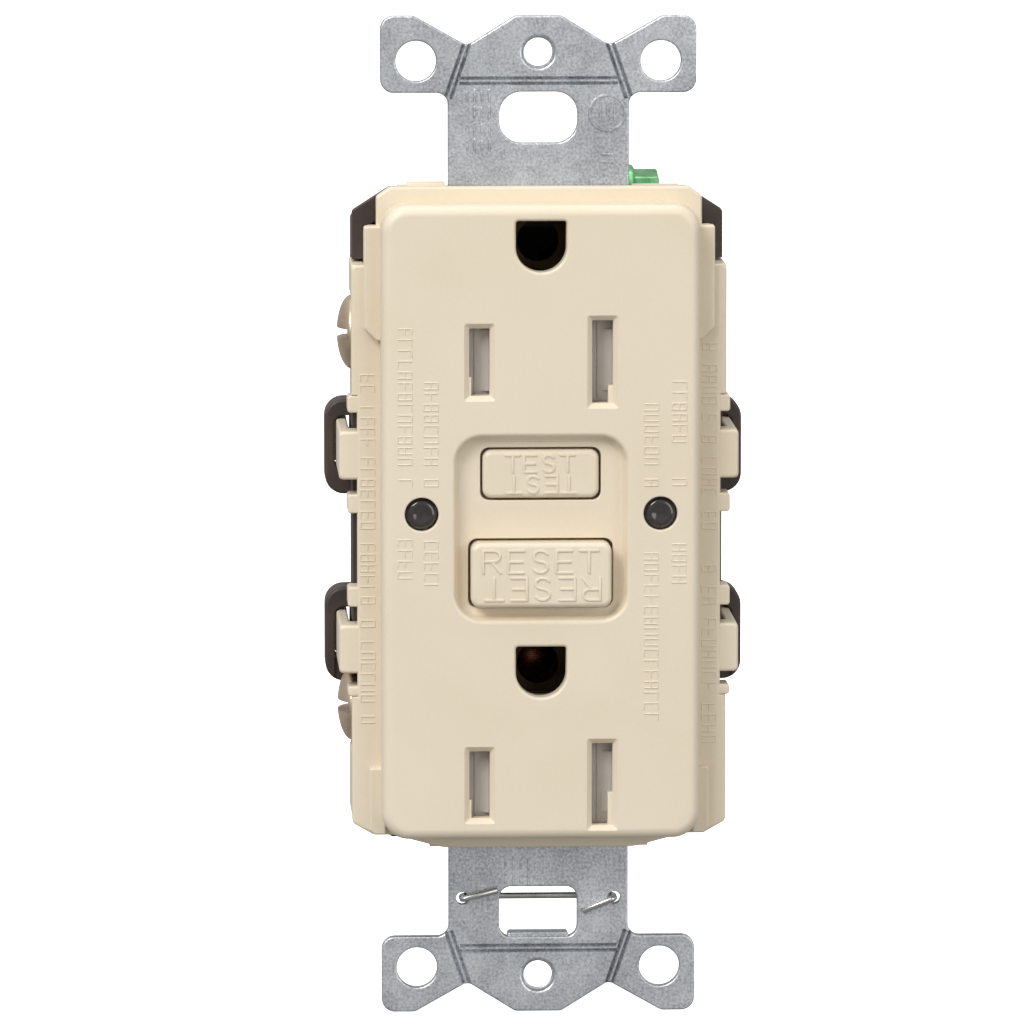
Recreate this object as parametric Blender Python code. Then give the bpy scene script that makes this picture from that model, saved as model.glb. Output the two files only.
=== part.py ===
"""GFCI duplex receptacle with test and reset buttons, modelled piece by piece.

Frame: +X right, +Z up, the face looks along -Y. The origin is the middle of the
mounting-screw pattern, on the strap's rear face. Sizes below are in millimetres,
and MM turns them into Blender's metres as each mesh is made.
"""
import math

import bpy
import bmesh

MM = 0.001
GAP = 0.3                    # clearance between pieces that touch on the real device
SHARP = math.radians(35)

# ---- Overall ----------------------------------------------------------------
STRAP_T = 1.2                # galvanised steel strap, from y = -STRAP_T to 0
STRAP_HALF_H = 52.2
FACE_W = 33.0
FACE_H = 66.1
FACE_Y = -7.5                # front plane of the face
BAND_W = 3.0                 # width of the cover's band beside the face
FLANGE_Y = -2.8              # front plane of that band
FLANGE_HALF_H = FACE_H / 2 + 1.55
FACE_R = 2.6                 # corner radius of the face
FACE_EDGE_R = 1.2            # rounding of the face's front edge
FACE_WALL = 2.0
FACE_SIDE_WALL = 1.5
FACE_END_WALL = 1.1
SKIRT_HALF_W = FACE_W / 2 + BAND_W
SKIRT_WALL = 1.4
SKIRT_Y = 7.0                # rear end of the cover's side skirts
BODY_HALF_W = SKIRT_HALF_W - 0.2   # rear housing, across its front part
BODY_WALL = 1.4
RIM_Y = 1.3                  # front rim of the rear housing
REAR_Y = 25.0                # back of the rear housing

# ---- Outlets ----------------------------------------------------------------
BLADE_X = 6.37               # blade slots left and right of the middle
BLADE_Z = (16.78, -27.33)    # slot centres of the upper and lower outlet
GROUND_Z = (28.75, -15.5)
HOT_SLOT = (2.13, 7.0)
NEUTRAL_SLOT = (2.17, 8.6)
SLOT_CHAMFER = 0.5
GROUND_HOLE_W = 5.24
GROUND_HOLE_H = 5.3

# ---- Buttons and lenses -----------------------------------------------------
RECESS = (18.2, 19.6)
RECESS_Z = -0.5
RECESS_R = 3.0
RECESS_DEPTH = 1.5
RECESS_FLOOR = 1.7
TEST_SIZE = (12.5, 5.5)      # opening in the recess floor
TEST_Z = 5.05
TEST_TOP_Y = -6.3
RESET_SIZE = (15.0, 7.2)
RESET_Z = -5.3
RESET_TOP_Y = -8.2
BUTTON_R = 0.9
BUTTON_GAP = 0.22
BUTTON_LIP = 0.7             # retaining lip of a button behind the recess floor
BUTTON_LIP_T = 0.8
LENS_X = 12.37
LENS_Z = 1.0
LENS_R = 1.6
LED_R = 1.8                  # foot of the lamp behind each lens
LED_Y = 3.6

# ---- Strap ------------------------------------------------------------------
BAND_HALF_W = 9.4
EAR_HALF_W = 16.4
EAR_Z = 44.2
EAR_HOLE = (12.7, 47.5, 2.1)
PLATE_HOLE = (48.4, 1.6)
SLOT_Z = 41.65
SLOT_SIZE = (8.1, 5.3)
INNER_HALF_W = FACE_W / 2 - 2.1    # strap inside the body
INNER_TOP = 27.0
INNER_BOTTOM = -(FLANGE_HALF_H - 2.0)
CLIP_Z = -40.2
CLIP_X = 7.95
CLIP_R = 0.34
CLIP_HOLE_R = 0.65

# ---- Latches between cover and housing ----------------------------------------
LATCH_Z = ((4.1, 9.2), (-16.2, -11.1))
LATCH_X = (SKIRT_HALF_W + 0.1, SKIRT_HALF_W + 1.3)
LATCH_Y = 16.0               # tips of the latch arms
BARB = 0.8                   # reach of a latch's barb over its loop
MID_HALF_W = SKIRT_HALF_W - 0.6    # band beside the latches
TAB_HALF_W = SKIRT_HALF_W + 0.4    # small tabs above and below each latch
TAB_Z = ((11.1, 12.9), (0.6, 2.6), (-9.2, -7.1), (-18.6, -17.5))
LOOP_MARGIN = ((2.9, 2.0), (2.5, 2.4))   # from each latch arm down and up to its loop's outside
LOOP_WALL = 1.4
LOOP_X = LATCH_X[1] + GAP + LOOP_WALL
STEP_HALF_W = SKIRT_HALF_W - 1.3   # band beside the upper corners
TOP_HALF_W = SKIRT_HALF_W - 2.6
CORNER_CUT_Z = FLANGE_HALF_H - 8.1   # the skirt ends here below the upper corners
SKIRT_LOW_Z = -(FLANGE_HALF_H - 3.2)
LIP_X = (FACE_W / 2 - 0.1, FACE_W / 2 + 1.1)
LIP_Y = 3.2
LIP_HALF_Z = FLANGE_HALF_H - 6.1
PAD_H = 1.1                  # raised pads on the band beside the face

# ---- Terminals --------------------------------------------------------------
SCREW_Y = 5.5
SCREW_TRAVEL = 2.38          # three turns of an 8-32 thread
HEAD_R = 3.9
HEAD_H = 2.8
SHANK_R = 2.0
TERMINAL_Z = {"line": 18.8, "load": LATCH_Z[1][0] - HEAD_R - GAP}
TERMINAL_X = BODY_HALF_W - 5.9     # inner face of a terminal plate
PLATE_T = 1.0
PLATE_HALF_Z = 3.7
CLAMP_T = 0.9
CLAMP_HALF = (HEAD_R, HEAD_R - 0.1)    # half size along y and z
CLAMP_SEAT = 0.12            # clearance from a driven clamp to its plate
POCKET_HALF_Z = HEAD_R + 0.35
POCKET_Y = SCREW_Y + HEAD_R + 0.8
LOOP_Y = (SCREW_Y + HEAD_R + 0.4, SCREW_Y + HEAD_R + 5.2)
GROUND_SCREW = (7.0, 32.2)   # y and z of the green screw's axis

# ---- Inside -----------------------------------------------------------------
CARRIER_Y = (0.3, 9.8)
CARRIER_HALF_W = TERMINAL_X - 0.5
CARRIER_Z = (-30.9, 24.6)
CARRIER_FLOOR = 0.8
STRIP_T = 0.8
BUS_X = (BLADE_X + 2.43, BLADE_X + 3.23)
BUS_Y = (2.0, 8.6)
FINGER_Y = (1.6, 8.3)
FINGER_HALF_Z = 2.8
FINGER_GAP = 1.3
PAD_Y = (10.2, 11.0)         # fixed contact plates behind the carrier
PAD_X = (BUS_X[1] - 3.8, BUS_X[1] - 1.0)
PAD_Z = {"load": -2.0, "line": 4.1}
SILVER_R = 1.25
SILVER_T = 0.6
SHUTTER_Y = (-4.9, -3.6)
TRAY_X = (-(FACE_W / 2 - FACE_SIDE_WALL - 1.4), FACE_W / 2 - FACE_SIDE_WALL - GAP)
TRAY_WALL = 0.9
SHUTTER_X = (TRAY_X[0] + 1.9, TRAY_X[1] - 5.5)
SHUTTER_HALF_Z = 4.4
SHUTTER_TRAVEL = 2.9
TRAY_Y = (-3.3, -1.5)
TRAY_HALF_Z = 4.35
PIN_R = 1.2
PIN_Y = (-4.6, 16.2)
PLUNGER_TRAVEL = 1.5
CARRIAGE_Y = (11.9, 17.3)
BRIDGE_Y = (13.2, 13.8)      # moving contacts, open at rest
LATCH_Y_RANGE = (15.4, 16.2)
LATCH_LOW_Z = -9.8
BOARD_Y = (REAR_Y - 4.7, REAR_Y - 3.1)
BOARD_HALF_W = TERMINAL_X + 0.8
BOARD_Z = (-28.4, 25.4)
CORE_Z = 15.5
CORE_R = (4.3, 7.7)
CUP_R = (3.3, 4.0, 8.0, 9.0)
CUP_Y = (11.4, BOARD_Y[0] - 0.5)
SOLENOID_Y = 15.2
SOLENOID_Z = (-25.0, -10.2)


# ---- Outlines: lists of (u, v) points ----------------------------------------
def rect(u0, u1, v0, v1):
    return [(u0, v0), (u1, v0), (u1, v1), (u0, v1)]


def circle(cu, cv, radius, sides=24, start=0.0):
    step = 2 * math.pi / sides
    return [(cu + radius * math.cos(start + i * step), cv + radius * math.sin(start + i * step))
            for i in range(sides)]


def fillet(corners, steps=4):
    """Outline from (u, v, radius) corners, each rounded by an arc of that radius."""
    outline = []
    count = len(corners)
    for i, (u, v, radius) in enumerate(corners):
        if radius <= 0:
            outline.append((u, v))
            continue
        before = unit(corners[i - 1][0] - u, corners[i - 1][1] - v)
        after = unit(corners[(i + 1) % count][0] - u, corners[(i + 1) % count][1] - v)
        half = math.acos(max(-1.0, min(1.0, before[0] * after[0] + before[1] * after[1]))) / 2
        inward = unit(before[0] + after[0], before[1] + after[1])
        cu = u + inward[0] * radius / math.sin(half)
        cv = v + inward[1] * radius / math.sin(half)
        reach = radius / math.tan(half)
        first = math.atan2(v + before[1] * reach - cv, u + before[0] * reach - cu)
        last = math.atan2(v + after[1] * reach - cv, u + after[0] * reach - cu)
        sweep = (last - first + math.pi) % (2 * math.pi) - math.pi
        for k in range(steps + 1):
            angle = first + sweep * k / steps
            outline.append((cu + radius * math.cos(angle), cv + radius * math.sin(angle)))
    return outline


def unit(u, v):
    length = math.hypot(u, v)
    return (u / length, v / length)


def rounded_rect(cu, cv, width, height, radius, steps=4):
    w, h = width / 2, height / 2
    return fillet([(cu - w, cv - h, radius), (cu + w, cv - h, radius),
                   (cu + w, cv + h, radius), (cu - w, cv + h, radius)], steps)


def ground_hole(cu, cv, grow=0.0, steps=12):
    """Flat on top, half round below."""
    radius = GROUND_HOLE_W / 2 + grow
    top = cv + GROUND_HOLE_H / 2 + grow
    middle = cv - GROUND_HOLE_H / 2 + GROUND_HOLE_W / 2
    arc = [(cu + radius * math.cos(math.pi + math.pi * k / steps),
            middle + radius * math.sin(math.pi + math.pi * k / steps)) for k in range(steps + 1)]
    return arc + [(cu + radius, top), (cu - radius, top)]


def mirrored(points):
    """Full outline from its right half, listed from top to bottom."""
    return points + [(-point[0],) + tuple(point[1:]) for point in reversed(points)]


# ---- Solids: closed bmeshes in millimetres ------------------------------------
def place(axis, along, u, v):
    """x, y, z of a point given along an axis and across it, in x, y, z order."""
    return {"X": (along, u, v), "Y": (u, along, v), "Z": (u, v, along)}[axis]


def loft(axis, layers):
    """Solid through outlines of equal length; each layer is (place on axis, outline)."""
    shape = bmesh.new()
    rings = [[shape.verts.new(place(axis, along, u, v)) for u, v in outline]
             for along, outline in layers]
    for near, far in zip(rings, rings[1:]):
        for i in range(len(near)):
            j = (i + 1) % len(near)
            shape.faces.new((near[i], near[j], far[j], far[i]))
    shape.faces.new(rings[0])
    shape.faces.new(rings[-1])
    bmesh.ops.recalc_face_normals(shape, faces=shape.faces)
    return shape


def prism(axis, outline, low, high):
    return loft(axis, [(low, outline), (high, outline)])


def block(x0, x1, y0, y1, z0, z1):
    return prism("Y", rect(min(x0, x1), max(x0, x1), z0, z1), y0, y1)


def rod(axis, cu, cv, low, high, radius, sides=16):
    return prism(axis, circle(cu, cv, radius, sides), low, high)


def turn(axis, cu, cv, profile, sides=24):
    """Solid of revolution from a closed profile of (place on axis, radius) that may touch the axis."""
    shape = bmesh.new()
    rings = []
    for along, radius in profile:
        if radius == 0:
            rings.append([shape.verts.new(place(axis, along, cu, cv))])
        else:
            rings.append([shape.verts.new(place(axis, along, u, v))
                          for u, v in circle(cu, cv, radius, sides)])
    for near, far in zip(rings, rings[1:] + rings[:1]):
        for i in range(sides):
            j = (i + 1) % sides
            if len(near) == 1 and len(far) == 1:
                break
            if len(near) == 1:
                shape.faces.new((near[0], far[j], far[i]))
            elif len(far) == 1:
                shape.faces.new((near[i], near[j], far[0]))
            else:
                shape.faces.new((near[i], near[j], far[j], far[i]))
    bmesh.ops.recalc_face_normals(shape, faces=shape.faces)
    return shape


def coil(axis, cu, cv, start, end, radius, wire_r, turns, steps=9, sides=5):
    """Round wire wound on a helix along an axis, from start to end over its outside."""
    shape = bmesh.new()
    count = round(turns * steps)
    rings = []
    for i in range(count + 1):
        angle = 2 * math.pi * i / steps
        middle = start + wire_r + (end - start - 2 * wire_r) * i / count
        ring = []
        for k in range(sides):
            turned = 2 * math.pi * k / sides
            reach = radius + wire_r * math.cos(turned)
            ring.append(shape.verts.new(place(axis, middle + wire_r * math.sin(turned),
                                              cu + reach * math.cos(angle),
                                              cv + reach * math.sin(angle))))
        rings.append(ring)
    for near, far in zip(rings, rings[1:]):
        for k in range(sides):
            j = (k + 1) % sides
            shape.faces.new((near[k], near[j], far[j], far[k]))
    shape.faces.new(rings[0])
    shape.faces.new(rings[-1])
    bmesh.ops.recalc_face_normals(shape, faces=shape.faces)
    return shape


def temporary(shape):
    mesh = bpy.data.meshes.new("shape")
    shape.to_mesh(mesh)
    shape.free()
    thing = bpy.data.objects.new("shape", mesh)
    bpy.context.scene.collection.objects.link(thing)
    return thing


def carve(adds, cuts=()):
    """Join the added solids, take the cutting solids away, and give the result."""
    body = temporary(adds[0])
    tools = []
    for operation, shapes in (("UNION", adds[1:]), ("DIFFERENCE", cuts)):
        for shape in shapes:
            tool = temporary(shape)
            modifier = body.modifiers.new(operation.title(), "BOOLEAN")
            modifier.operation = operation
            modifier.solver = "EXACT"
            modifier.object = tool
            tools.append(tool)
    result = bmesh.new()
    result.from_object(body, bpy.context.evaluated_depsgraph_get())
    for thing in [body] + tools:
        bpy.data.objects.remove(thing, do_unlink=True)
    bmesh.ops.dissolve_limit(result, angle_limit=math.radians(0.05), verts=result.verts,
                             edges=result.edges)
    return result


# ---- Objects ------------------------------------------------------------------
def plastic(name, colour, roughness=0.45, metallic=0.0):
    material = bpy.data.materials.new(name)
    material.use_nodes = True
    shader = material.node_tree.nodes["Principled BSDF"]
    shader.inputs["Base Color"].default_value = (*colour, 1.0)
    shader.inputs["Roughness"].default_value = roughness
    shader.inputs["Metallic"].default_value = metallic
    material.diffuse_color = (*colour, 1.0)
    return material


def metal(name, colour, roughness=0.35):
    return plastic(name, colour, roughness, 1.0)


def make(name, shape, material, origin=(0.0, 0.0, 0.0), parent=None):
    """Object of one piece, its origin at a point given in millimetres."""
    for vert in shape.verts:
        vert.co = [(value - shift) * MM for value, shift in zip(vert.co, origin)]
    mesh = bpy.data.meshes.new(name)
    shape.to_mesh(mesh)
    shape.free()
    mesh.shade_smooth()
    mesh.set_sharp_from_angle(angle=SHARP)
    mesh.materials.append(material)
    piece = bpy.data.objects.new(name, mesh)
    bpy.context.scene.collection.objects.link(piece)
    spot = [value * MM for value in origin]
    if parent is not None:
        piece.parent = parent
        spot = [value - up for value, up in zip(spot, parent["spot"])]
    piece.location = spot
    piece["spot"] = [value * MM for value in origin]
    return piece


# ---- Cover --------------------------------------------------------------------
def flange_outline():
    """Band around the face: stepped at the upper corners, curved at the lower ones."""
    top = FLANGE_HALF_H
    right = [(TOP_HALF_W - 1.4, top, 0), (TOP_HALF_W, top - 1.0, 0), (TOP_HALF_W, top - 4.0, 0),
             (STEP_HALF_W, top - 4.0, 0.5), (STEP_HALF_W, CORNER_CUT_Z, 0),
             (SKIRT_HALF_W, CORNER_CUT_Z, 0.5), (SKIRT_HALF_W, TAB_Z[0][1], 0),
             (MID_HALF_W, TAB_Z[0][1], 0), (MID_HALF_W, TAB_Z[-1][0], 0),
             (SKIRT_HALF_W, TAB_Z[-1][0], 0), (SKIRT_HALF_W, 2.7 - top, 0),
             (SKIRT_HALF_W - 2.3, 1.4 - top, 0.6), (SKIRT_HALF_W - 4.3, 1.4 - top, 0),
             (10.0, -top, 6.0)]
    return fillet(mirrored(right))


def face_block():
    """Face with a rounded front edge, from the front plane into the flange."""
    layers = []
    steps = 4
    for k in range(steps + 1):
        angle = math.pi / 2 * k / steps
        inset = FACE_EDGE_R * (1 - math.sin(angle))
        y = FACE_Y + FACE_EDGE_R * (1 - math.cos(angle))
        layers.append((y, rounded_rect(0, 0, FACE_W - 2 * inset, FACE_H - 2 * inset,
                                       FACE_R - inset + 0.2)))
    layers.append((TRAY_Y[1], layers[-1][1]))
    return loft("Y", layers)


def flared(outline, grown, depth, back):
    """Cutter for a hole through the face with a chamfer at the front."""
    return loft("Y", [(FACE_Y - 1, grown), (FACE_Y, grown), (FACE_Y + depth, outline),
                      (back, outline)])


def slot_cut(cx, cz, size, back):
    width, height = size
    grow = 2 * SLOT_CHAMFER
    return flared(rect(cx - width / 2, cx + width / 2, cz - height / 2, cz + height / 2),
                  rect(cx - (width + grow) / 2, cx + (width + grow) / 2,
                       cz - (height + grow) / 2, cz + (height + grow) / 2),
                  SLOT_CHAMFER, back)


def front_cover(material):
    cavity_y = FACE_Y + FACE_WALL
    floor_y = FACE_Y + RECESS_DEPTH
    cavity_x = FACE_W / 2 - FACE_SIDE_WALL
    shell = carve([face_block(), prism("Y", flange_outline(), FLANGE_Y, TRAY_Y[1])],
                  [block(-cavity_x, cavity_x, cavity_y, 0, -FACE_H / 2 + FACE_END_WALL,
                         FACE_H / 2 - FACE_END_WALL)])
    adds = [shell]
    width, height = RECESS
    adds.append(block(-width / 2 - 0.9, width / 2 + 0.9, floor_y, floor_y + RECESS_FLOOR,
                      RECESS_Z - height / 2 - 0.9, RECESS_Z + height / 2 + 0.9))
    cuts = []
    end_z = FLANGE_HALF_H - 1.3
    bridge = SKIRT_HALF_W - 1.5
    for side in (-1, 1):
        root = FLANGE_Y + 0.4
        inner = SKIRT_HALF_W - SKIRT_WALL
        for low, high in ((TERMINAL_Z["line"] + POCKET_HALF_Z, CORNER_CUT_Z),
                          (SKIRT_LOW_Z, TERMINAL_Z["load"] - POCKET_HALF_Z)):
            adds.append(block(side * inner, side * SKIRT_HALF_W, root, SKIRT_Y, low, high))
        line, load = TERMINAL_Z["line"], TERMINAL_Z["load"]
        for low, high in ((-LIP_HALF_Z, load - POCKET_HALF_Z),
                          (load + POCKET_HALF_Z, line - POCKET_HALF_Z),
                          (line + POCKET_HALF_Z, LIP_HALF_Z)):
            adds.append(block(side * LIP_X[0], side * LIP_X[1], root, LIP_Y, low, high))
        for low, high in ((end_z, FLANGE_HALF_H), (-FLANGE_HALF_H, -end_z)):
            adds.append(block(side * (BAND_HALF_W + GAP), side * (TOP_HALF_W - 2.3), root,
                              RIM_Y - GAP, low, high))
        for low, high in TAB_Z:
            adds.append(block(side * bridge, side * TAB_HALF_W, FLANGE_Y, RIM_Y - GAP, low, high))
        for low, high in LATCH_Z:
            adds.append(block(side * bridge, side * LATCH_X[1], FLANGE_Y, RIM_Y - GAP, low, high))
            adds.append(block(side * LATCH_X[0], side * LATCH_X[1], root, LATCH_Y, low, high))
            barb = [(LOOP_Y[1] + GAP, LATCH_X[1] - 0.3), (LOOP_Y[1] + GAP, LATCH_X[1] + BARB),
                    (LATCH_Y, LATCH_X[1] - 0.3)]
            adds.append(prism("Z", [(side * x, y) for y, x in barb], low, high))
        for half_w, low, high in ((STEP_HALF_W, 18.7, FLANGE_HALF_H - 4.0),
                                  (STEP_HALF_W - 0.5, 1.6 - FLANGE_HALF_H, -26.0)):
            adds.append(block(side * (FACE_W / 2 - 0.5), side * half_w, FLANGE_Y - PAD_H,
                              FLANGE_Y + 0.5, low, high))
    adds.append(block(3.3 - TOP_HALF_W, -BAND_HALF_W - GAP, -1.0, RIM_Y - GAP,
                      FLANGE_HALF_H - 0.6, FLANGE_HALF_H + 0.3))
    recess_back = rounded_rect(0, RECESS_Z, width - 1.2, height - 1.2, RECESS_R - 0.6)
    recess_front = rounded_rect(0, RECESS_Z, width, height, RECESS_R)
    cuts.append(loft("Y", [(FACE_Y - 1, recess_front), (FACE_Y, recess_front),
                           (floor_y - 0.4, recess_back), (floor_y, recess_back)]))
    for (w, h), z in ((TEST_SIZE, TEST_Z), (RESET_SIZE, RESET_Z)):
        cuts.append(prism("Y", rounded_rect(0, z, w, h, BUTTON_R), FACE_Y, 0))
    for z in BLADE_Z:
        cuts.append(slot_cut(-BLADE_X, z, HOT_SLOT, 0))
        cuts.append(slot_cut(BLADE_X, z, NEUTRAL_SLOT, 0))
    for z in GROUND_Z:
        cuts.append(flared(ground_hole(0, z), ground_hole(0, z, 0.35), 0.35, 0))
    for side in (-1, 1):
        cuts.append(rod("Y", side * LENS_X, LENS_Z, FACE_Y - 1, 0, LENS_R + 0.15, 24))
    return make("front_cover", carve(adds, cuts), material)


def button(name, size, z, top_y, material):
    """Cap with rounded edges, a retaining lip and a short stem behind it."""
    width, height = size[0] - 2 * BUTTON_GAP, size[1] - 2 * BUTTON_GAP
    lip_y = FACE_Y + RECESS_DEPTH + RECESS_FLOOR + GAP
    edge = 0.5
    layers = []
    for k in range(4):
        angle = math.pi / 2 * k / 3
        inset = edge * (1 - math.sin(angle))
        layers.append((top_y + edge * (1 - math.cos(angle)),
                       rounded_rect(0, z, width - 2 * inset, height - 2 * inset,
                                    BUTTON_R - inset)))
    layers.append((lip_y + 0.2, layers[-1][1]))
    lip = block(-size[0] / 2 - BUTTON_LIP, size[0] / 2 + BUTTON_LIP, lip_y,
                lip_y + BUTTON_LIP_T, z - size[1] / 2 - BUTTON_LIP, z + size[1] / 2 + BUTTON_LIP)
    cuts = []
    if name == "reset_button":
        cuts.append(rod("Y", 0, z, PIN_Y[0] - GAP, 0, PIN_R + 0.15, 16))
    return make(name, carve([loft("Y", layers), lip], cuts), material, (0, lip_y, z))


def lens(name, side, material):
    """Light pipe with a domed front, a collar behind the face and a thin tail."""
    front = FACE_Y + 0.35
    collar = FACE_Y + FACE_WALL + GAP
    profile = [(front, 0)]
    for k in range(1, 4):
        angle = math.pi / 2 * k / 3
        profile.append((front + 0.5 * (1 - math.cos(angle)), LENS_R * math.sin(angle)))
    profile += [(collar, LENS_R), (collar, 2.2), (collar + 0.8, 2.2), (collar + 0.8, 1.3),
                (3.2, 1.3), (3.2, 0)]
    return make(name, turn("Y", side * LENS_X, LENS_Z, profile), material,
                (side * LENS_X, 0, LENS_Z))


# ---- Tamper shutters -----------------------------------------------------------
def shutter(name, z, material):
    """Sliding plate whose two windows meet the slots once it has moved along +x."""
    y0, y1 = SHUTTER_Y
    plate = block(*SHUTTER_X, y0, y1, z - SHUTTER_HALF_Z, z + SHUTTER_HALF_Z)
    adds = [plate]
    cuts = []
    for x in (-BLADE_X, BLADE_X):
        window = x - SHUTTER_TRAVEL
        cuts.append(block(window - 1.2, window + 1.2, y0 - 1, y1 + 1, z - 4.0, z + 4.0))
        ramp = [(x - 0.9, y0 + 0.3), (x + 1.3, y0 + 0.3), (x + 1.3, y0 - 0.4)]
        adds.append(prism("Z", ramp, z - 3.0, z + 3.0))
    return make(name, carve(adds, cuts), material, (0, y0, z))


def shutter_tray(name, z, material):
    """Guide behind a shutter: windows for the blades and a wall at each end."""
    y0, y1 = TRAY_Y
    x0, x1 = TRAY_X
    low, high = z - TRAY_HALF_Z, z + TRAY_HALF_Z
    adds = [block(x0, x1, y0, y1, low, high),
            block(x0, x0 + TRAY_WALL, SHUTTER_Y[0] - 0.2, y0 + 0.4, low, high),
            block(x1 - TRAY_WALL, x1, SHUTTER_Y[0] - 0.2, y0 + 0.4, low, high)]
    cuts = [block(side * BLADE_X - 1.8, side * BLADE_X + 1.8, y0 - 1, y1 + 1,
                  low - 1, high - 0.9) for side in (-1, 1)]
    return make(name, carve(adds, cuts), material)


def shutter_spring(name, z, material):
    start = SHUTTER_X[1] + 0.1
    end = TRAY_X[1] - TRAY_WALL - 0.1
    middle = (SHUTTER_Y[0] + SHUTTER_Y[1]) / 2
    return make(name, coil("X", middle, z, start, end, 0.5, 0.13, 5), material,
                (end, middle, z))


# ---- Strap ----------------------------------------------------------------------
def strap_outline():
    end = [(2.4, STRAP_HALF_H, 0.8), (7.4, 49.1, 1.0), (12.9, STRAP_HALF_H, 1.0),
           (EAR_HALF_W, STRAP_HALF_H, 1.4), (EAR_HALF_W, EAR_Z, 1.4),
           (BAND_HALF_W, EAR_Z, 1.2)]
    lower = [(x, -z, radius) for x, z, radius in reversed(end)]
    inner = [(BAND_HALF_W, INNER_TOP, 0), (INNER_HALF_W, INNER_TOP, 1.0),
             (INNER_HALF_W, INNER_BOTTOM, 1.0), (BAND_HALF_W, INNER_BOTTOM, 0)]
    return fillet(mirrored(end + inner + lower))


def mounting_strap(material):
    front, back = -STRAP_T, 0.0
    y_cut = (front - 1, back + 1)
    tab_z = (GROUND_SCREW[1] - 4.2, GROUND_SCREW[1] + 4.2)
    adds = [prism("Y", strap_outline(), front, back),
            block(BAND_HALF_W - STRAP_T, BAND_HALF_W, front + 0.6, GROUND_SCREW[0] + 5.0,
                  *tab_z),
            block(-3.3, 3.3, front + 0.6, 1.3, -SLOT_Z - SLOT_SIZE[1] / 2 - 0.95,
                  -SLOT_Z - SLOT_SIZE[1] / 2 - 0.05)]
    for side in (-1, 1):
        adds.append(rod("Y", 0, side * PLATE_HOLE[0], front + 0.6, 1.0, PLATE_HOLE[1] + 0.8, 20))
    cuts = []
    width, height = SLOT_SIZE
    cuts.append(prism("Y", rounded_rect(0, SLOT_Z, width, height, 2.3, 5), *y_cut))
    cuts.append(prism("Y", rounded_rect(0, -SLOT_Z, width, height, 1.2), *y_cut))
    for side in (-1, 1):
        for end in (-1, 1):
            cuts.append(rod("Y", side * EAR_HOLE[0], end * EAR_HOLE[1], *y_cut, EAR_HOLE[2], 24))
        cuts.append(rod("Y", 0, side * PLATE_HOLE[0], front - 1, 2, PLATE_HOLE[1], 20))
        cuts.append(rod("Y", side * CLIP_X, CLIP_Z, *y_cut, CLIP_HOLE_R, 12))
        for z in BLADE_Z:
            cuts.append(block(side * (BLADE_X - 2.47), side * (BLADE_X + 2.63), *y_cut, z - 5.0,
                              z + 5.0))
        cuts.append(block(side * (LENS_X - 2.07), side * (INNER_HALF_W + 1), *y_cut, LENS_Z - 2.2,
                          LENS_Z + 2.2))
    for z in GROUND_Z:
        cuts.append(rod("Y", 0, z, *y_cut, 3.6, 20))
    reach = RESET_SIZE[0] / 2 + BUTTON_LIP + 0.5
    cuts.append(block(-reach, reach, *y_cut, RESET_Z - 4.9, TEST_Z + 4.1))
    cuts.append(rod("X", GROUND_SCREW[0], GROUND_SCREW[1], BAND_HALF_W - 3, BAND_HALF_W + 1,
                    SHANK_R + 0.15, 16))
    return make("mounting_strap", carve(adds, cuts), material)


def grounding_clip(material):
    """Spring wire: a bar behind the lower slot, with both ends bent forward and in."""
    front = -STRAP_T - CLIP_R - 0.15
    back = CLIP_R + 0.15
    route = [(-CLIP_X + 3.7, front, CLIP_Z + 0.95), (-CLIP_X, front, CLIP_Z),
             (-CLIP_X, back, CLIP_Z), (CLIP_X, back, CLIP_Z), (CLIP_X, front, CLIP_Z),
             (CLIP_X - 3.35, front, CLIP_Z - 1.35)]
    curve = bpy.data.curves.new("clip", "CURVE")
    curve.dimensions = "3D"
    curve.bevel_depth = CLIP_R
    curve.bevel_resolution = 2
    curve.use_fill_caps = True
    spline = curve.splines.new("POLY")
    spline.points.add(len(route) - 1)
    for point, spot in zip(spline.points, route):
        point.co = (*spot, 1.0)
    thing = bpy.data.objects.new("clip", curve)
    bpy.context.scene.collection.objects.link(thing)
    depsgraph = bpy.context.evaluated_depsgraph_get()
    shape = bmesh.new()
    mesh = bpy.data.meshes.new_from_object(thing.evaluated_get(depsgraph))
    shape.from_mesh(mesh)
    bpy.data.objects.remove(thing, do_unlink=True)
    return make("self_grounding_clip", shape, material)


# ---- Rear housing ---------------------------------------------------------------
# x range and lowest z of the green screw's pocket
GROUND_POCKET = (BAND_HALF_W - 4.2, BAND_HALF_W + 5.2, GROUND_SCREW[1] - 4.8)


def housing_outline(half_w, top, bottom, inset=0.0):
    """Body outline with cut corners, moved inward by inset."""
    w = half_w - inset
    cut = 0.45 * inset
    corner = BODY_HALF_W - 3.9 - cut
    right = [(corner, top - inset), (w, top - 2.5 - cut), (w, bottom + 2.4 + cut),
             (corner - 0.2, bottom + inset)]
    return mirrored(right)


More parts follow.
